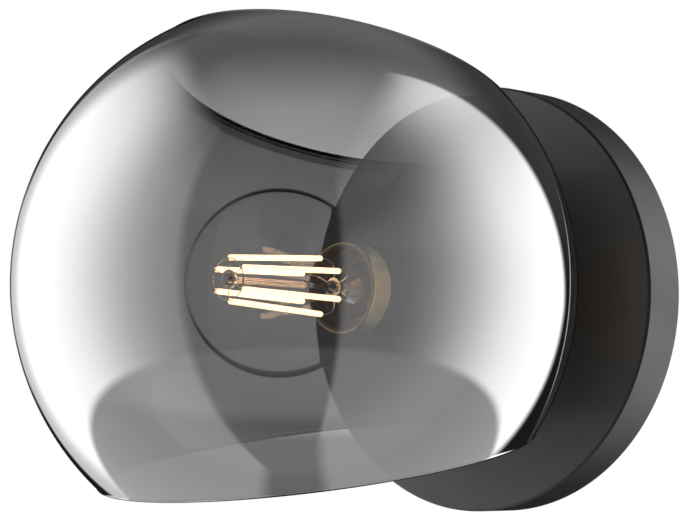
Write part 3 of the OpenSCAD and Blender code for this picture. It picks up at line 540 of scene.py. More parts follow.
def glass(name, tint, ior=1.5, mirror=None, pass_light=(1, 1, 1), edge=None, gloss=0.5):
    """Refracting glass. mirror is (share head on, share at a slant, power) of a film on the face.
    edge is (slant where it begins, slant where it is full, share) of a dark diffuse that is mixed in
    where the eye looks along the wall: a painted dark contour, which is painted shade."""
    material = bpy.data.materials.new(name)
    material.use_nodes = True
    material.diffuse_color = (*tint, 0.3)
    material.node_tree.nodes.clear()
    nodes = Nodes(material.node_tree)
    place = nodes.add("ShaderNodeTexCoord").outputs["Object"]
    cloud = nodes.add("ShaderNodeTexNoise", {"Vector": place, "Scale": 1 / melt_grain, "Detail": 2.0})
    colour = nodes.blend(cloud.outputs[0], *darker_and_lighter(tint, melt_shift))
    if mirror:
        head_on, slant, power = mirror
        inside, cosine = slant_to_film(nodes, ior)
        share = nodes.math("POWER", nodes.math("SUBTRACT", 1.0, cosine), power)
        share = nodes.plus(nodes.times(share, slant - head_on), head_on)
        colour = nodes.blend(nodes.times(cosine, cosine), (0, 0, 0, 1), colour)
    shader = nodes.add("ShaderNodeBsdfPrincipled", {
        "Base Color": colour, "Roughness": 0.0, "IOR": ior, "Transmission Weight": 1.0,
        "Specular IOR Level": gloss}).outputs[0]
    if mirror:
        silver = nodes.blend(inside, film_silver, film_back)
        film = nodes.add("ShaderNodeBsdfAnisotropic", {"Color": silver, "Roughness": 0.0}).outputs[0]
        shader = nodes.mix_shaders(share, shader, film)
    # Painted shade: where the eye looks along the wall, a dark diffuse is mixed in and draws a painted dark
    # contour.
    if edge:
        begins, full, painted_dark_share = edge
        along = nodes.add("ShaderNodeLayerWeight", {"Blend": 0.5}).outputs["Facing"]
        painted_dark_contour = nodes.add("ShaderNodeBsdfDiffuse", {"Color": painted_contour_dark}).outputs[0]
        shader = nodes.mix_shaders(nodes.fade(along, begins, full, 0.0, painted_dark_share), shader, painted_dark_contour)
    shadow = nodes.add("ShaderNodeLightPath").outputs["Is Shadow Ray"]
    clear = nodes.add("ShaderNodeBsdfTransparent", {"Color": (*pass_light, 1)}).outputs[0]
    nodes.add("ShaderNodeOutputMaterial", {"Surface": nodes.mix_shaders(shadow, shader, clear)})
    print("glass finish:", name)
    return material

# %% The globe's film, its inner face and the band under its upper rim
# The film's edge share gives the globe's outline a painted dark contour, which is painted shade.
smoke_film = glass("smoke_mirror_film", (0.30, 0.30, 0.305), mirror=(0.30, 0.90, 1.6),
                   pass_light=(0.3, 0.3, 0.3), edge=(0.875, 0.92, 0.9), gloss=0.08)
clear_wall = glass("globe_inner_face", (1, 1, 1), gloss=0.12)
# Below the upper rim, the inner face gets a darker glass: a band of painted shade under the rim.
painted_rim_shade = glass("painted_shade_rim_band", (0.20, 0.20, 0.205))
globe.data.materials.clear()
for material in (smoke_film, clear_wall, painted_rim_shade):
    globe.data.materials.append(material)
band_wide = 4 * mm
top_up = Vector((0, math.sin(top_lean), math.cos(top_lean)))
for face in globe.data.polygons:
    arm = face.center - globe_middle
    outer = arm.length > globe_r - half_wall
    below_rim = top_cut - half_wall - arm.dot(top_up)
    # Inner faces within band_wide under the upper rim take the painted shade band.
    face.material_index = 0 if outer else 2 if 0 < below_rim < band_wide else 1
settle(globe, "fixture", "smoke_glass", "globe")

# %% [markdown]
# The lamp's bulb. A bulb of this kind is blown as one skin: a ball that runs into a neck in one
# smooth curve. Its section is an arc, a soft curve to the neck and a straight end inside the cap.
# Thin clear glass shows as a dark line where the eye looks along its wall, and as little else. Here that
# line is painted shade, a dark diffuse mixed in at the slant. A high refraction would draw it too wide,
# so the lamp's glass bends light less than real glass does.

# %% The lamp's glass
# The bulb's and the stem's edge shares paint a dark contour line, which is painted shade.
bulb_clear = glass("clear_blown_glass", (0.98, 0.985, 0.985), ior=1.03, pass_light=(0.9, 0.9, 0.9),
                   edge=(0.86, 0.97, 0.95))
stem_clear = glass("stem_glass", (0.97, 0.98, 0.975), mirror=(0.40, 0.95, 1.2), pass_light=(0.9, 0.9, 0.9),
                   edge=(0.86, 0.97, 0.5))

# %% The lamp's bulb
bulb_wall = 0.9 * mm
neck_r = 12.4 * mm
ball_out = lamp_front - bulb_r
leave_angle = math.radians(55)
neck_flare, pull = cap_front + 2 * mm, 8 * mm
ball_steps, neck_steps = 56, 16

def bezier(a, b, c, d, t):
    u = 1 - t
    return tuple(u**3 * a[i] + 3 * t * u * u * b[i] + 3 * t * t * u * c[i] + t**3 * d[i] for i in (0, 1))

def bulb_section(radius, end_r):
    """From the front of the ball to the end of the neck, with no corner to round."""
    arc = [math.pi / 2 - i * (math.pi / 2 + leave_angle) / ball_steps for i in range(ball_steps)]
    ball = [(max(0, radius * math.cos(a)), ball_out + radius * math.sin(a)) for a in arc]
    ball[0] = (0, ball_out + radius)
    join = (radius * math.cos(leave_angle), ball_out - radius * math.sin(leave_angle))
    lean = (join[0] - pull * math.sin(leave_angle), join[1] - pull * math.cos(leave_angle))
    flare, rise = (end_r, neck_flare), (end_r, neck_flare + pull)
    neck = [bezier(join, lean, rise, flare, i / neck_steps) for i in range(neck_steps + 1)]
    return ball + neck + [(end_r, lamp_back)]

outline = bulb_section(bulb_r, neck_r) + bulb_section(bulb_r - bulb_wall, neck_r - bulb_wall)[::-1]
bulb = turned("lamp_bulb", outline, bulb_clear, corner=0, closed=False, steps=160)
bulb.data.shade_smooth()
settle(bulb, "lamp", "clear_glass", "lamp_glass")

# %% [markdown]
# Filaments. Each is a rod of light chips under a phosphor coat. They lean inwards towards the front.
# Six rods could be placed by hand or with an Array modifier round a helper object. A geometry tree needs
# no helper: one rod is made in its place, and the tree sets its copies round the axis.

# %% The tree that sets copies round the axis
def round_tree():
    nodes, given = open_tree("copies_round_the_axis", [("Count", "Int", 6)])
    points = nodes.add("GeometryNodePoints", {"Count": given["Count"]}).outputs[0]
    index = nodes.add("GeometryNodeInputIndex").outputs[0]
    turn = nodes.over(nodes.times(index, math.tau), given["Count"])
    rotation = nodes.add("ShaderNodeCombineXYZ", {"Y": turn}).outputs[0]
    copies = nodes.add("GeometryNodeInstanceOnPoints", {
        "Points": points, "Instance": given["Geometry"], "Rotation": rotation}).outputs[0]
    return close_tree(nodes, copies, given["Finish"])

round_the_axis = round_tree()

def copies_round(name, piece, count, material):
    mesh = piece.data
    bpy.data.objects.remove(piece)
    return run_tree(name, mesh, round_the_axis, {"Count": count, "Finish": material})

# %% [markdown]
# The light. A light object inside the bulb would light the pieces as well, but it has no filament's
# shape. Here the phosphor itself gives the light, so it shows as six lines wherever it is mirrored.

# %% A glowing finish
dim_green, dim_blue, mirrored_share = 0.92, 0.82, 0.5
chip_grain = 1.2 * mm

def glow(name, colour, strength):
    """Lit phosphor. Its images in the glass are dimmer than itself, by mirrored_share."""
    material = bpy.data.materials.new(name)
    material.use_nodes = True
    principled = material.node_tree.nodes["Principled BSDF"]
    nodes = Nodes(material.node_tree)
    place = nodes.add("ShaderNodeTexCoord").outputs["Object"]
    spots = nodes.add("ShaderNodeTexNoise", {"Vector": place, "Scale": 1 / chip_grain}).outputs[0]
    dim = (colour[0], colour[1] * dim_green, colour[2] * dim_blue, 1)
    tones = nodes.blend(spots, dim, (*colour, 1))
    material.node_tree.links.new(tones, principled.inputs["Base Color"])
    principled.inputs["Emission Color"].default_value = (*colour, 1)
    mirrored = nodes.add("ShaderNodeLightPath").outputs["Is Glossy Ray"]
    seen = nodes.mix(mirrored, strength, strength * mirrored_share)
    material.node_tree.links.new(seen, principled.inputs["Emission Strength"])
    principled.inputs["Roughness"].default_value = 0.5
    return material

filament_glow = glow("lit_filament", (1.0, 0.66, 0.35), 13.0)
print("glowing finish:", filament_glow.name)

# %% The filaments
filament_r = 1.2 * mm
filament_back, filament_front = 127.85 * mm, 185.35 * mm
back_ring_r, front_ring_r = 12.1 * mm, 9.0 * mm
end_round_share, filament_count = 0.9, 6

def rod_between(name, start, end, radius, material, sides=24):
    """A straight rod with round ends between two points."""
    length = (end - start).length
    end_round = radius * end_round_share
    rod = turned(name, [(0, 0), (radius, 0, end_round), (radius, length, end_round), (0, length)],
                 material, steps=sides, closed=False, rounds=5)
    turn = Vector((0, -1, 0)).rotation_difference(end - start)
    rod.data.transform(Matrix.Translation(start) @ turn.to_matrix().to_4x4())
    return rod

def on_ring(radius, out, turn=math.pi / 2):
    return Vector((radius * math.cos(turn), -out, radius * math.sin(turn)))

one_filament = rod_between("filament", on_ring(back_ring_r, filament_back),
                           on_ring(front_ring_r, filament_front), filament_r, filament_glow)
filaments = copies_round("filaments", one_filament, filament_count, filament_glow)
filaments.data.shade_smooth()
settle(filaments, "lamp", "filament_glow", "lamp_filaments")

# %% [markdown]
# Wires and leads. A wire is a round section carried along a path, so one tree takes a line of points,
# bends it smoothly, gives it its section and closes both ends. The tree also notes the turn round the
# section, so that the earth lead's insulation can have its two yellow stripes, as a real one has.

# %% The tree that sweeps a wire
def sweeping_tree():
    nodes, given = open_tree("swept_wire", [
        ("Radius", "Float", 0.5 * mm), ("Sides", "Int", 12), ("Steps", "Int", 24)])
    path = nodes.add("GeometryNodeMeshToCurve", {"Mesh": given["Geometry"]}).outputs[0]
    path = nodes.add("GeometryNodeCurveSplineType", {"Curve": path}, spline_type="CATMULL_ROM").outputs[0]
    path = nodes.add("GeometryNodeResampleCurve", {"Curve": path, "Count": given["Steps"]}).outputs[0]
    ring = nodes.add("GeometryNodeCurvePrimitiveCircle", {
        "Resolution": given["Sides"], "Radius": given["Radius"]}, mode="RADIUS").outputs["Curve"]
    index = nodes.add("GeometryNodeInputIndex").outputs[0]
    ring = nodes.store(ring, "turn_of_section", nodes.over(index, given["Sides"]))
    wire = nodes.add("GeometryNodeCurveToMesh", {
        "Curve": path, "Profile Curve": ring, "Fill Caps": True}).outputs[0]
    wire = nodes.add("GeometryNodeSetShadeSmooth", {"Geometry": wire, "Shade Smooth": True}).outputs[0]
    return close_tree(nodes, wire, given["Finish"])

swept_wire = sweeping_tree()

def swept(name, points, radius, material, sides=16, steps=64, closed=False):
    mesh = bpy.data.meshes.new(name + "_path")
    edges = [(i, i + 1) for i in range(len(points) - 1)] + ([(len(points) - 1, 0)] if closed else [])
    mesh.from_pydata(points, edges, [])
    piece = run_tree(name, mesh, swept_wire, {
        "Radius": radius, "Sides": sides, "Steps": steps, "Finish": material})
    face_outwards(piece)
    even_normals(piece)
    return piece

# %% [markdown]
# The leads inside the drum. Their routes were chosen in the construction, so they aren't typed again:
# each lead's line is read from its solid, ring of corners by ring, and swept again with a finer round.

# %% The line of a lead, and its stripes
def middle_line(node, sides=8):
    """The middles of a swept node's rings of corners, from its one end to the other."""
    shape = bmesh.new()
    shape.from_mesh(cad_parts[node].data)
    bmesh.ops.remove_doubles(shape, verts=shape.verts, dist=merge_near)
    end = min(shape.verts, key=lambda v: v.co.z).co.copy()
    ring = sorted(shape.verts, key=lambda v: (abs(v.co.z - end.z), (v.co - end).length))[:sides]
    seen, line = set(), []
    while ring:
        line.append(sum((v.co for v in ring), Vector()) / len(ring))
        seen.update(ring)
        ring = [v for v in {e.other_vert(v) for v in ring for e in v.link_edges} if v not in seen]
    shape.free()
    return line

def striped(material, band):
    """Stripes along a swept wire, by the turn round its section."""
    nodes = Nodes(material.node_tree)
    principled = material.node_tree.nodes["Principled BSDF"]
    ground = principled.inputs["Base Color"].links[0].from_socket
    turn = nodes.add("ShaderNodeAttribute", attribute_name="turn_of_section").outputs["Fac"]
    wave = nodes.math("COSINE", nodes.times(turn, stripes * math.tau))
    colour = nodes.blend(nodes.fade(wave, 0.05, 0.25), ground, (*band, 1))
    material.node_tree.links.new(colour, principled.inputs["Base Color"])

stripes = 2
striped(green_lead, (0.62, 0.50, 0.03))
print("the earth lead has", stripes, "yellow stripes")

# %% The leads
lead_r = 1.05 * mm
for name, node, slot, material in [("brown_wire", "live_lead", "lead_brown", brown_lead),
                                   ("blue_wire", "neutral_lead", "lead_blue", blue_lead),
                                   ("earth_wire", "earth_lead", "lead_green", green_lead)]:
    line = middle_line(node)
    lead = swept(name, line, lead_r, material, sides=20, steps=120)
    settle(lead, "fixture", slot, node)
    length = sum((b - a).length for a, b in zip(line, line[1:]))
    print(name, "runs", round(length / mm, 1), "mm through", len(line), "points")

# %% [markdown]
# The wires in the lamp. Six nickel wires spring from a hub on the stem's pinch, bow outwards and meet
# the filaments' back ends. At the front a second hub and a thin ring of wire hold the other ends.
# Straight rods would be simpler, but real wires are bent, so that they spring. One bow is drawn as a
# chosen line of points and set round the axis by the same tree as the filaments.

# %% Sizes and helpers of the lamp's wires
wire_r = 0.35 * mm
waist_r, hub_r, hub_wide = 3 * mm, 4.2 * mm, 1.2 * mm
hub_back, front_hub_back = 119.4 * mm, 184.75 * mm
button_r, front_hub_r = 2.8 * mm, 4 * mm
wire_gap, ring_inset = 0.05 * mm, 0.3 * mm

def joined(name, pieces):
    """One plain mesh of several pieces."""
    shape = bmesh.new()
    for piece in pieces:
        shape.from_mesh(piece.data)
    mesh = bpy.data.meshes.new(name)
    shape.to_mesh(mesh)
    shape.free()
    for piece in pieces:
        bpy.data.objects.remove(piece)
    return link(name, mesh)

def hub(name, inner, outer, back):
    return turned(name, [(inner + wire_gap, back), (outer, back), (outer, back + hub_wide),
                         (inner + wire_gap, back + hub_wide)], bright_wire, steps=48)

print("the hubs are", round((front_hub_back - hub_back) / mm, 1), "mm apart")

# %% The lamp's wires
mid_hub = hub_back + hub_wide / 2
back_end = filament_back - wire_gap - wire_r
bow_route = [(hub_r - wire_r, mid_hub), (6.2 * mm, mid_hub - 0.5 * mm), (9.6 * mm, mid_hub + 0.3 * mm),
             (11.8 * mm, back_end - 3.2 * mm), (back_ring_r, back_end)]
bow = swept("back_bow", [on_ring(*point) for point in bow_route], wire_r, bright_wire, sides=10, steps=28)
front_end = filament_front + wire_gap + wire_r
front_wire_share, ring_points = 0.7, 48
front_wire_r = front_wire_share * wire_r
spoke_route = [(front_hub_r - wire_r, filament_front), (6.4 * mm, filament_front + 0.1 * mm),
               (front_ring_r, front_end)]
spoke = swept("front_spoke", [on_ring(*point) for point in spoke_route], front_wire_r, bright_wire,
              sides=10, steps=12)
bows = copies_round("back_bows", bow, filament_count, bright_wire)
spokes = copies_round("front_spokes", spoke, filament_count, bright_wire)
ring_route = [on_ring(front_ring_r - ring_inset, front_end, math.tau * i / ring_points)
              for i in range(ring_points)]
ring = swept("front_ring", ring_route, front_wire_r, bright_wire, sides=10, steps=2 * ring_points,
             closed=True)
wires = joined("support_wires", [bows, spokes, ring, hub("back_hub", waist_r, hub_r, hub_back),
                                 hub("front_hub", button_r, front_hub_r, front_hub_back)])
wires.data.materials.append(bright_wire)
even_normals(wires)
settle(wires, "lamp", "wire_nickel", "lamp_wires")
print("support_wires has", len(wires.data.polygons), "faces")

# %% [markdown]
# The glass stem. Its foot is a trumpet that is fused into the neck. Looked at from the front it mirrors
# the lit filaments, so the trumpet gets a brighter face than the rod. A cone, a rod and a ball would
# make it too, but glass is fused without seams, so its section is one smooth line.

# %% The glass stem
foot_r, stem_flare, rod_r, pinch = 11.35 * mm, 106.04 * mm, 1.4 * mm, 121.8 * mm
foot_wall = 0.8 * mm
soft, softer, softest = 1 * mm, 2 * mm, 4 * mm
shoulder = pinch - stem_flare
trumpet = [(foot_r, lamp_back), (foot_r - foot_wall, stem_flare, softer),
           (0.72 * foot_r, stem_flare + 0.28 * shoulder, softest),
           (0.42 * foot_r, stem_flare + 0.5 * shoulder, softest),
           (waist_r, stem_flare + 0.75 * shoulder, softest), (waist_r, pinch, soft),
           (rod_r, pinch + waist_r, soft), (rod_r, filament_front - button_r, 0.5 * soft)]
button = [(button_r * across, filament_front + button_r * along, 0.5 * soft)
          for across, along in ((0.8, -0.5), (1, 0), (0.7, 0.6))] + [(0, filament_front + 0.8 * button_r)]
inner = [(0, stem_flare + 0.6 * shoulder), (0.3 * foot_r, stem_flare + 0.45 * shoulder, softer),
         (0.6 * foot_r, stem_flare + 0.2 * shoulder, 1.5 * softer),
         (foot_r - 2 * foot_wall, stem_flare, softer), (foot_r - foot_wall, lamp_back)]
trumpet_face = finish("stem_trumpet_face", (0.97, 0.93, 0.85), 0.06, metallic=1.0, grain=1.0 * mm,
                      shift=0.03, uneven=0.02, bump=0.001 * mm)
stem = turned("stem", trumpet + button + inner, stem_clear, corner=0, steps=96, closed=False,
              rounds=8)
print("stem is", round((filament_front - lamp_back) / mm, 1), "mm long")
stem.data.materials.append(trumpet_face)
for face in stem.data.polygons:
    out = -face.center.y
    if stem_flare - soft < out < stem_flare + 0.8 * shoulder and face.normal.y < 0:
        face.material_index = 1
settle(stem, "lamp", "clear_glass", "lamp_stem")

# %% [markdown]
# The cap. Its thread is rolled into thin sheet, so it has no flat and no sharp edge: the radius rises
# and falls as a wave while it climbs one pitch a turn. A Screw modifier could wind a profile, but its
# ends would stay open. The turning tree adds the wave to the section instead, wherever a point says how
# deep its thread is, and the wave fades in and out at the thread's ends.

# %% The lamp's cap
thread_pitch, thread_depth, cap_wall = 3.628 * mm, 1.1 * mm, 0.3 * mm
insulator_r, cap_collar = 10.8 * mm, 3 * mm
thread_turns, thread_points, fade_share = 5, 60, 1 / 6
thread_end = cap_front - cap_collar
thread_start = thread_end - thread_turns * thread_pitch
rolled = []
for i in range(thread_points + 1):
    share = i / thread_points
    deep = thread_depth / 2 * min(1, share / fade_share, (1 - share) / fade_share)
    rolled.append((cap_r - thread_depth / 2, thread_start + share * (thread_end - thread_start), 0, deep))
cap_bore = cap_r - thread_depth - cap_wall
inner_bead, sheet_round = 1.6 * mm, 0.1 * mm
cap = turned("cap_shell", [
    (insulator_r - inner_bead, cap_back), (insulator_r, cap_back, sheet_round), *rolled,
    (cap_r, thread_end + cap_wall, sheet_round), (cap_r, cap_front, sheet_round),
    (neck_r + wire_gap, cap_front, sheet_round), (neck_r + wire_gap, thread_end, 0),
    (cap_bore, thread_end - cap_wall, 0), (cap_bore, thread_start, 0),
    (insulator_r - cap_wall, cap_back + cap_wall, 0),
    (insulator_r - inner_bead, cap_back + cap_wall, 0)],
    nickel, corner=0.05 * mm, steps=144, pitch=thread_pitch)
even_normals(cap)
settle(cap, "lamp", "nickel", "lamp_cap")
print("the cap's thread climbs", round(thread_pitch / mm, 3), "mm a turn")

# %% [markdown]
# The clamp ring and the lock washer are turned rings with notches milled round their edge. The notches
# could be part of a drawn outline that is pushed out, but then the ring would lose its rounded corners.
# So one cutter is drawn, the tree sets it round the axis, and one cut takes all the notches out.

# %% A notched ring
overrun, notch_count = 1 * mm, 12

def notched(name, section, notch_r, material, edge):
    ring = turned(name, section, material, corner=edge, steps=192)
    ring_r = max(p[0] for p in section)
    low, high = min(p[1] for p in section) - overrun, max(p[1] for p in section) + overrun
    cutter = turned(name + "_cutter", [(0, low), (notch_r, low), (notch_r, high), (0, high)], material,
                    corner=0, closed=False, steps=40)
    cutter.data.transform(Matrix.Translation((ring_r, 0, 0)))
    cut_away(ring, copies_round(name + "_cutters", cutter, notch_count, material))
    even_normals(ring)
    print(name, "has", notch_count, "notches")
    return ring

print("a cutter passes each face by", overrun / mm, "mm")

# %% The clamp ring and the lock washer
clamp_gap, clamp_out_r = 0.06 * mm, 28 * mm
clamp_notch_r, clamp_round = 2 * mm, 0.3 * mm
clamp_bore = cover_r + clamp_gap
clamp_ring = notched("clamping_ring", [
    (clamp_bore, clamp_back), (clamp_out_r, clamp_back), (clamp_out_r, clamp_front),
    (clamp_bore, clamp_front)], clamp_notch_r, black_lacquer, clamp_round)
settle(clamp_ring, "clamp", "black_metal", "clamp_ring")
washer_back, washer_front = span("lock_washer")[:2]
washer_out_r, washer_gap = 9.083 * mm, 0.05 * mm
washer_notch_r, washer_round = 0.9 * mm, 0.08 * mm
washer = notched("tooth_washer", [
    (tube_r + washer_gap, washer_back), (washer_out_r, washer_back), (washer_out_r, washer_front),
    (tube_r + washer_gap, washer_front)], washer_notch_r, zinc_plate, washer_round)
settle(washer, "fixture", "zinc_steel", "lock_washer")

# %% [markdown]
# Small pieces keep the construction's own shape. They could be modelled again, but the solids already
# have every hole and slot. A copy of each is merged, its flats are joined and its edges get a narrow
# round, because every real edge has one and it is what catches the light.

# %% Dress a node
merge_corners, flat_angle, sharp_angle = 0.002 * mm, math.radians(0.5), math.radians(35)

def dressed(name, node, body, slot, material, round_edge):
    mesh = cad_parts[node].data.copy()
    mesh.name = name
    piece = link(name, mesh)
    shape = bmesh.new()
    shape.from_mesh(mesh)
    bmesh.ops.remove_doubles(shape, verts=shape.verts, dist=merge_corners)
    bmesh.ops.dissolve_limit(shape, angle_limit=flat_angle, verts=shape.verts, edges=shape.edges)
    shape.to_mesh(mesh)
    shape.free()
    mesh.materials.clear()
    mesh.materials.append(material)
    edge = piece.modifiers.new("round", "BEVEL")
    edge.width, edge.segments, edge.limit_method = round_edge, 2, "ANGLE"
    edge.angle_limit = sharp_angle
    edge.use_clamp_overlap = True
    apply_modifiers(piece)
    even_normals(piece)
    return settle(piece, body, slot, node)

print("edges sharper than", round(math.degrees(sharp_angle)), "degrees get a round")

# %% Dress the inner pieces
small_pieces = [
    ("bracket", "wall_bracket", "fixture", "zinc_steel", zinc_plate, 0.2 * mm),
    ("grommet", "cable_grommet", "fixture", "black_rubber", rubber, 0.3 * mm),
    ("terminal_housing", "terminal_block", "fixture", "white_plastic", polyamide, 0.2 * mm),
    ("terminal_tubes", "terminal_sleeves", "fixture", "brass", stamped_brass, 0.08 * mm),
    ("terminal_clamp_screws", "terminal_screws", "fixture", "zinc_steel", zinc_plate, 0.08 * mm),
    ("block_fixing", "block_screw", "fixture", "zinc_steel", zinc_plate, 0.1 * mm),
    ("earth_fixing", "earth_screw", "fixture", "brass", stamped_brass, 0.12 * mm),
    ("earth_ring", "earth_tag", "fixture", "tin_solder", solder, 0.08 * mm),
    ("canopy_fixings", "canopy_screws", "fixture", "black_metal", black_lacquer, 0.1 * mm),
    ("nipple", "threaded_tube", "fixture", "brass", stamped_brass, 0.15 * mm),
    ("mouth_bushes", "tube_bushes", "fixture", "white_plastic", polyamide, 0.1 * mm),
    ("nut_behind", "rear_nut", "fixture", "zinc_steel", zinc_plate, 0.2 * mm),
    ("nut_in_front", "front_nut", "fixture", "zinc_steel", zinc_plate, 0.2 * mm),
    ("seat_ring", "globe_seat", "fixture", "black_metal", black_lacquer, 0.25 * mm),
    ("gasket_behind", "rear_gasket", "fixture", "black_rubber", rubber, 0.3 * mm),
    ("gasket_in_front", "front_gasket", "fixture", "black_rubber", rubber, 0.3 * mm),
    ("holder_cup", "holder_base", "fixture", "black_plastic", black_plastic, 0.2 * mm),
    ("holder_sleeve", "holder_body", "fixture", "black_plastic", black_plastic, 0.2 * mm),
    ("holder_core", "holder_insert", "fixture", "ceramic", steatite, 0.2 * mm),
    ("thread_shell", "screw_shell", "fixture", "brass", stamped_brass, 0.08 * mm),
    ("tip_spring", "centre_contact", "fixture", "contact_spring", bronze, 0.08 * mm),
    ("shell_tab", "side_contact", "fixture", "contact_spring", bronze, 0.08 * mm),
    ("holder_fixings", "holder_screws", "fixture", "zinc_steel", zinc_plate, 0.1 * mm),
    ("tip_solder", "lamp_tip", "lamp_seat", "tin_solder", solder, 0.08 * mm),
    ("tip_insulator", "lamp_insulator", "lamp_seat", "black_vitrite", vitrite, 0.15 * mm),
    ("driver_board", "lamp_driver", "lamp", "board_green", board, 0.1 * mm),
]
for name, node, body, slot, material, edge in small_pieces:
    dressed(name, node, body, slot, material, edge)
print("dressed", len(small_pieces), "small pieces")

# %% [markdown]
# The camera stands where the photograph's camera stood. It could be placed by eye, but a ball shows no
# angle. The two cut rims and the drum do, so its place, turn and lens were solved from their outlines.
# It looks slightly up, from the front left of the sconce.

# %% The camera
eye = Vector((0.7091, -0.9236, -0.0757))
turn_left, look_up, roll = 0.7185, 0.0819, 0.0024
camera = bpy.data.cameras.new("camera")
camera.lens, camera.sensor_width = 129.45, 36
camera.clip_start, camera.clip_end = 0.01, 50
camera_object = link("camera", camera)
camera_object.location = eye
camera_object.rotation_euler = Euler((math.pi / 2 + look_up, roll, turn_left), "XYZ")
bpy.context.scene.camera = camera_object
print("camera is", round((eye - globe_middle).length, 3), "m from the globe's middle")

# %% [markdown]
# The studio. Mirror glass shows the room more than itself, so the room is the lighting: a dark front
# behind the camera, bright screens on both sides, a lower grey table and a darker ceiling. It could be
# built of glowing planes, but the glass would show their edges. Here it is drawn on the sky, as tones
# that depend on the direction only: how far it points right, away and up from where the camera stands.

# %% Directions in the studio
world = bpy.data.worlds.new("studio")
bpy.context.scene.world = world
world.use_nodes = True
world.node_tree.nodes.clear()
sky = Nodes(world.node_tree)
direction = sky.add("ShaderNodeTexCoord").outputs["Generated"]
turned_back = sky.add("ShaderNodeMapping", {"Vector": direction, "Rotation": (0, 0, -turn_left)},
                      vector_type="POINT").outputs[0]
parts = sky.add("ShaderNodeSeparateXYZ", {0: turned_back}).outputs
right, away, up = parts["X"], parts["Y"], parts["Z"]
side = sky.math("ABSOLUTE", right)
level = sky.math("SQRT", sky.plus(sky.times(side, side), sky.times(away, away)))
level = sky.larger(level, 0.001)
bearing, behind, slope = sky.over(right, level), sky.over(away, level), sky.over(up, level)
print("the studio faces a camera turned by", round(math.degrees(turn_left), 1), "degrees")

# %% [markdown]
# The screens. The left one begins 45 degrees to the left of the camera and the right one 17 degrees to
# its right. They grow brighter the farther behind the sconce they stand and fade out at their tops. The
# tones are light at strength 1, and each edge is a pair of values where it begins and where it is full.

# %% The screens and the ceiling
right_edge, left_edge, far_edge = (0.30, 0.37), (-0.66, -0.74), (-0.3, 0.0)
screen_tone, front_tone, far_tone, ceiling_tone = 0.30, 0.06, 1.61, 0.15
screens = sky.larger(sky.fade(bearing, *right_edge), sky.fade(bearing, *left_edge))
screens = sky.larger(screens, sky.fade(behind, *far_edge))
bright = sky.plus(sky.times(screens, screen_tone), sky.fade(behind, -0.80, 0.27, front_tone, far_tone))
reach = sky.larger(side, sky.times(away, 0.45))
height = sky.over(up, sky.larger(reach, 0.02))
left_top = sky.fade(height, 0.35, 2.4, 1.0, 0.0)
right_top = sky.times(sky.fade(height, 0.2, 1.0, 1.0, 0.55), sky.fade(height, 1.3, 2.8, 1.0, 0.0))
bright = sky.times(bright, sky.mix(sky.fade(right, 0.0, 0.1), left_top, right_top))
bright = sky.times(bright, sky.fade(behind, 0.70, 0.92, 1.0, 0.36))
ceiling = sky.times(sky.fade(away, 0.0, 0.35, 0.0, ceiling_tone), sky.fade(slope, 0.5, 1.2))
bright = sky.plus(bright, ceiling)
print("screens from", front_tone, "in front to", far_tone + screen_tone, "behind")

# %% [markdown]
# The table and the backdrop. Below the screens lies a grey table, and straight behind the sconce hangs
# a backdrop with the horizon at its foot. The gaps beside and above it stay dark. The glass's contour
# mirrors just these gaps, and that is what draws a dark line round it.

# %% The table, the backdrop and the dark gaps
table_edge, table_tone = (-0.50, -0.58), 0.36
table = sky.times(sky.fade(away, -0.65, -0.3, 0.14, 0.27), sky.fade(away, -0.2, 0.0, 1.0, 0.75))
beside = sky.times(screens, sky.fade(side, 0.10, 0.20))
table = sky.plus(sky.times(beside, table_tone), table)
room = sky.mix(sky.fade(slope, *table_edge), bright, table)
backdrop = sky.times(sky.fade(slope, 0.0, 0.012, 0.2, 1.0), sky.fade(slope, 0.24, 0.40, 1.0, 0.15))
room = sky.mix(sky.fade(behind, 0.93, 0.97), room, backdrop)
bearing_behind = sky.over(right, sky.larger(away, 0.05))
off_level = sky.larger(sky.fade(slope, 0.15, 0.20), sky.fade(slope, -0.03, -0.09))
gap = sky.times(off_level, sky.fade(bearing_behind, -0.42, -0.34))
gap = sky.larger(gap, sky.fade(bearing_behind, 0.12, 0.2))
leaning = sky.plus(sky.times(sky.math("ABSOLUTE", slope), -0.26), bearing_behind)
leaning = sky.plus(sky.times(slope, -0.29), leaning)
gap = sky.times(gap, sky.fade(leaning, 0.75, 0.97, 1.0, 0.0))
gap = sky.times(gap, sky.fade(away, 0.1, 0.2))
gap_tone = sky.plus(sky.fade(slope, 0.0, 0.3, 0.012, 0.05), sky.fade(slope, 0.5, 1.2, 0.0, 0.13))
room = sky.mix(gap, room, gap_tone)
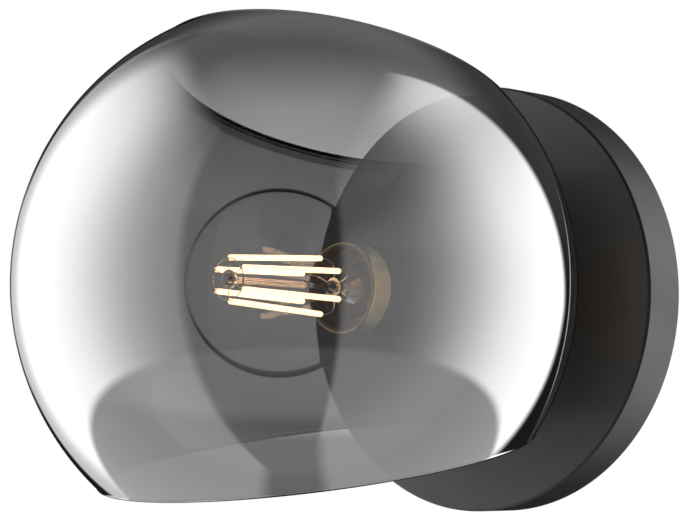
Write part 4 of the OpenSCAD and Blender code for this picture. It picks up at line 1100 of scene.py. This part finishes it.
room = sky.mix(sky.fade(up, 0.86, 0.96), room, sky.fade(away, -0.3, 0.2, 0.04, 0.16))
print("the table begins", round(math.degrees(math.atan(-table_edge[0])), 1), "degrees below the horizon")

# %% [markdown]
# White for the eye. The photograph's background is plain white, brighter than the room that the glass
# mirrors. A light path tells the two apart: only a ray straight from the camera sees the white.

# %% The sky's light
camera_ray = sky.add("ShaderNodeLightPath").outputs["Is Camera Ray"]
light = sky.add("ShaderNodeBackground", {"Color": (1, 1, 1, 1), "Strength": sky.mix(camera_ray, room, 1.0)})
sky.add("ShaderNodeOutputWorld", {"Surface": light.outputs[0]})
print("the sky has", len(world.node_tree.nodes), "nodes")

# %% [markdown]
# The floor. A pale floor below the sconce takes its shadow and gives a little light back. Seen in the
# mirror glass it would hide the drawn table, so rays that come from a gloss or from glass pass it.

# %% The floor
floor_drop, floor_reach, floor_sides = 1.5, 1.6, 96

def pale_floor():
    material = finish("pale_floor", (0.80, 0.80, 0.80), 0.6, shift=0.01, grain=20 * mm, bump=0.0)
    tree = material.node_tree
    nodes = Nodes(tree)
    ray = nodes.add("ShaderNodeLightPath").outputs
    through = nodes.larger(ray["Is Glossy Ray"], ray["Is Transmission Ray"])
    clear = nodes.add("ShaderNodeBsdfTransparent").outputs[0]
    shader = nodes.mix_shaders(through, tree.nodes["Principled BSDF"].outputs[0], clear)
    tree.links.new(shader, tree.nodes["Material Output"].inputs["Surface"])
    return material

rim_turns = [math.tau * i / floor_sides for i in range(floor_sides)]
floor_rim = [(floor_reach * math.cos(t), floor_reach * math.sin(t) + globe_middle.y, -floor_drop)
             for t in rim_turns]
floor_mesh = bpy.data.meshes.new("floor")
floor_mesh.from_pydata(floor_rim, [], [tuple(range(floor_sides))])
floor = link("floor", floor_mesh)
floor_mesh.materials.append(pale_floor())
print("floor of", 2 * floor_reach, "m across,", floor_drop, "m below the lamp's axis")

# %% [markdown] The last step.

# %% Set the view transform
bpy.context.scene.view_settings.view_transform = "Standard"
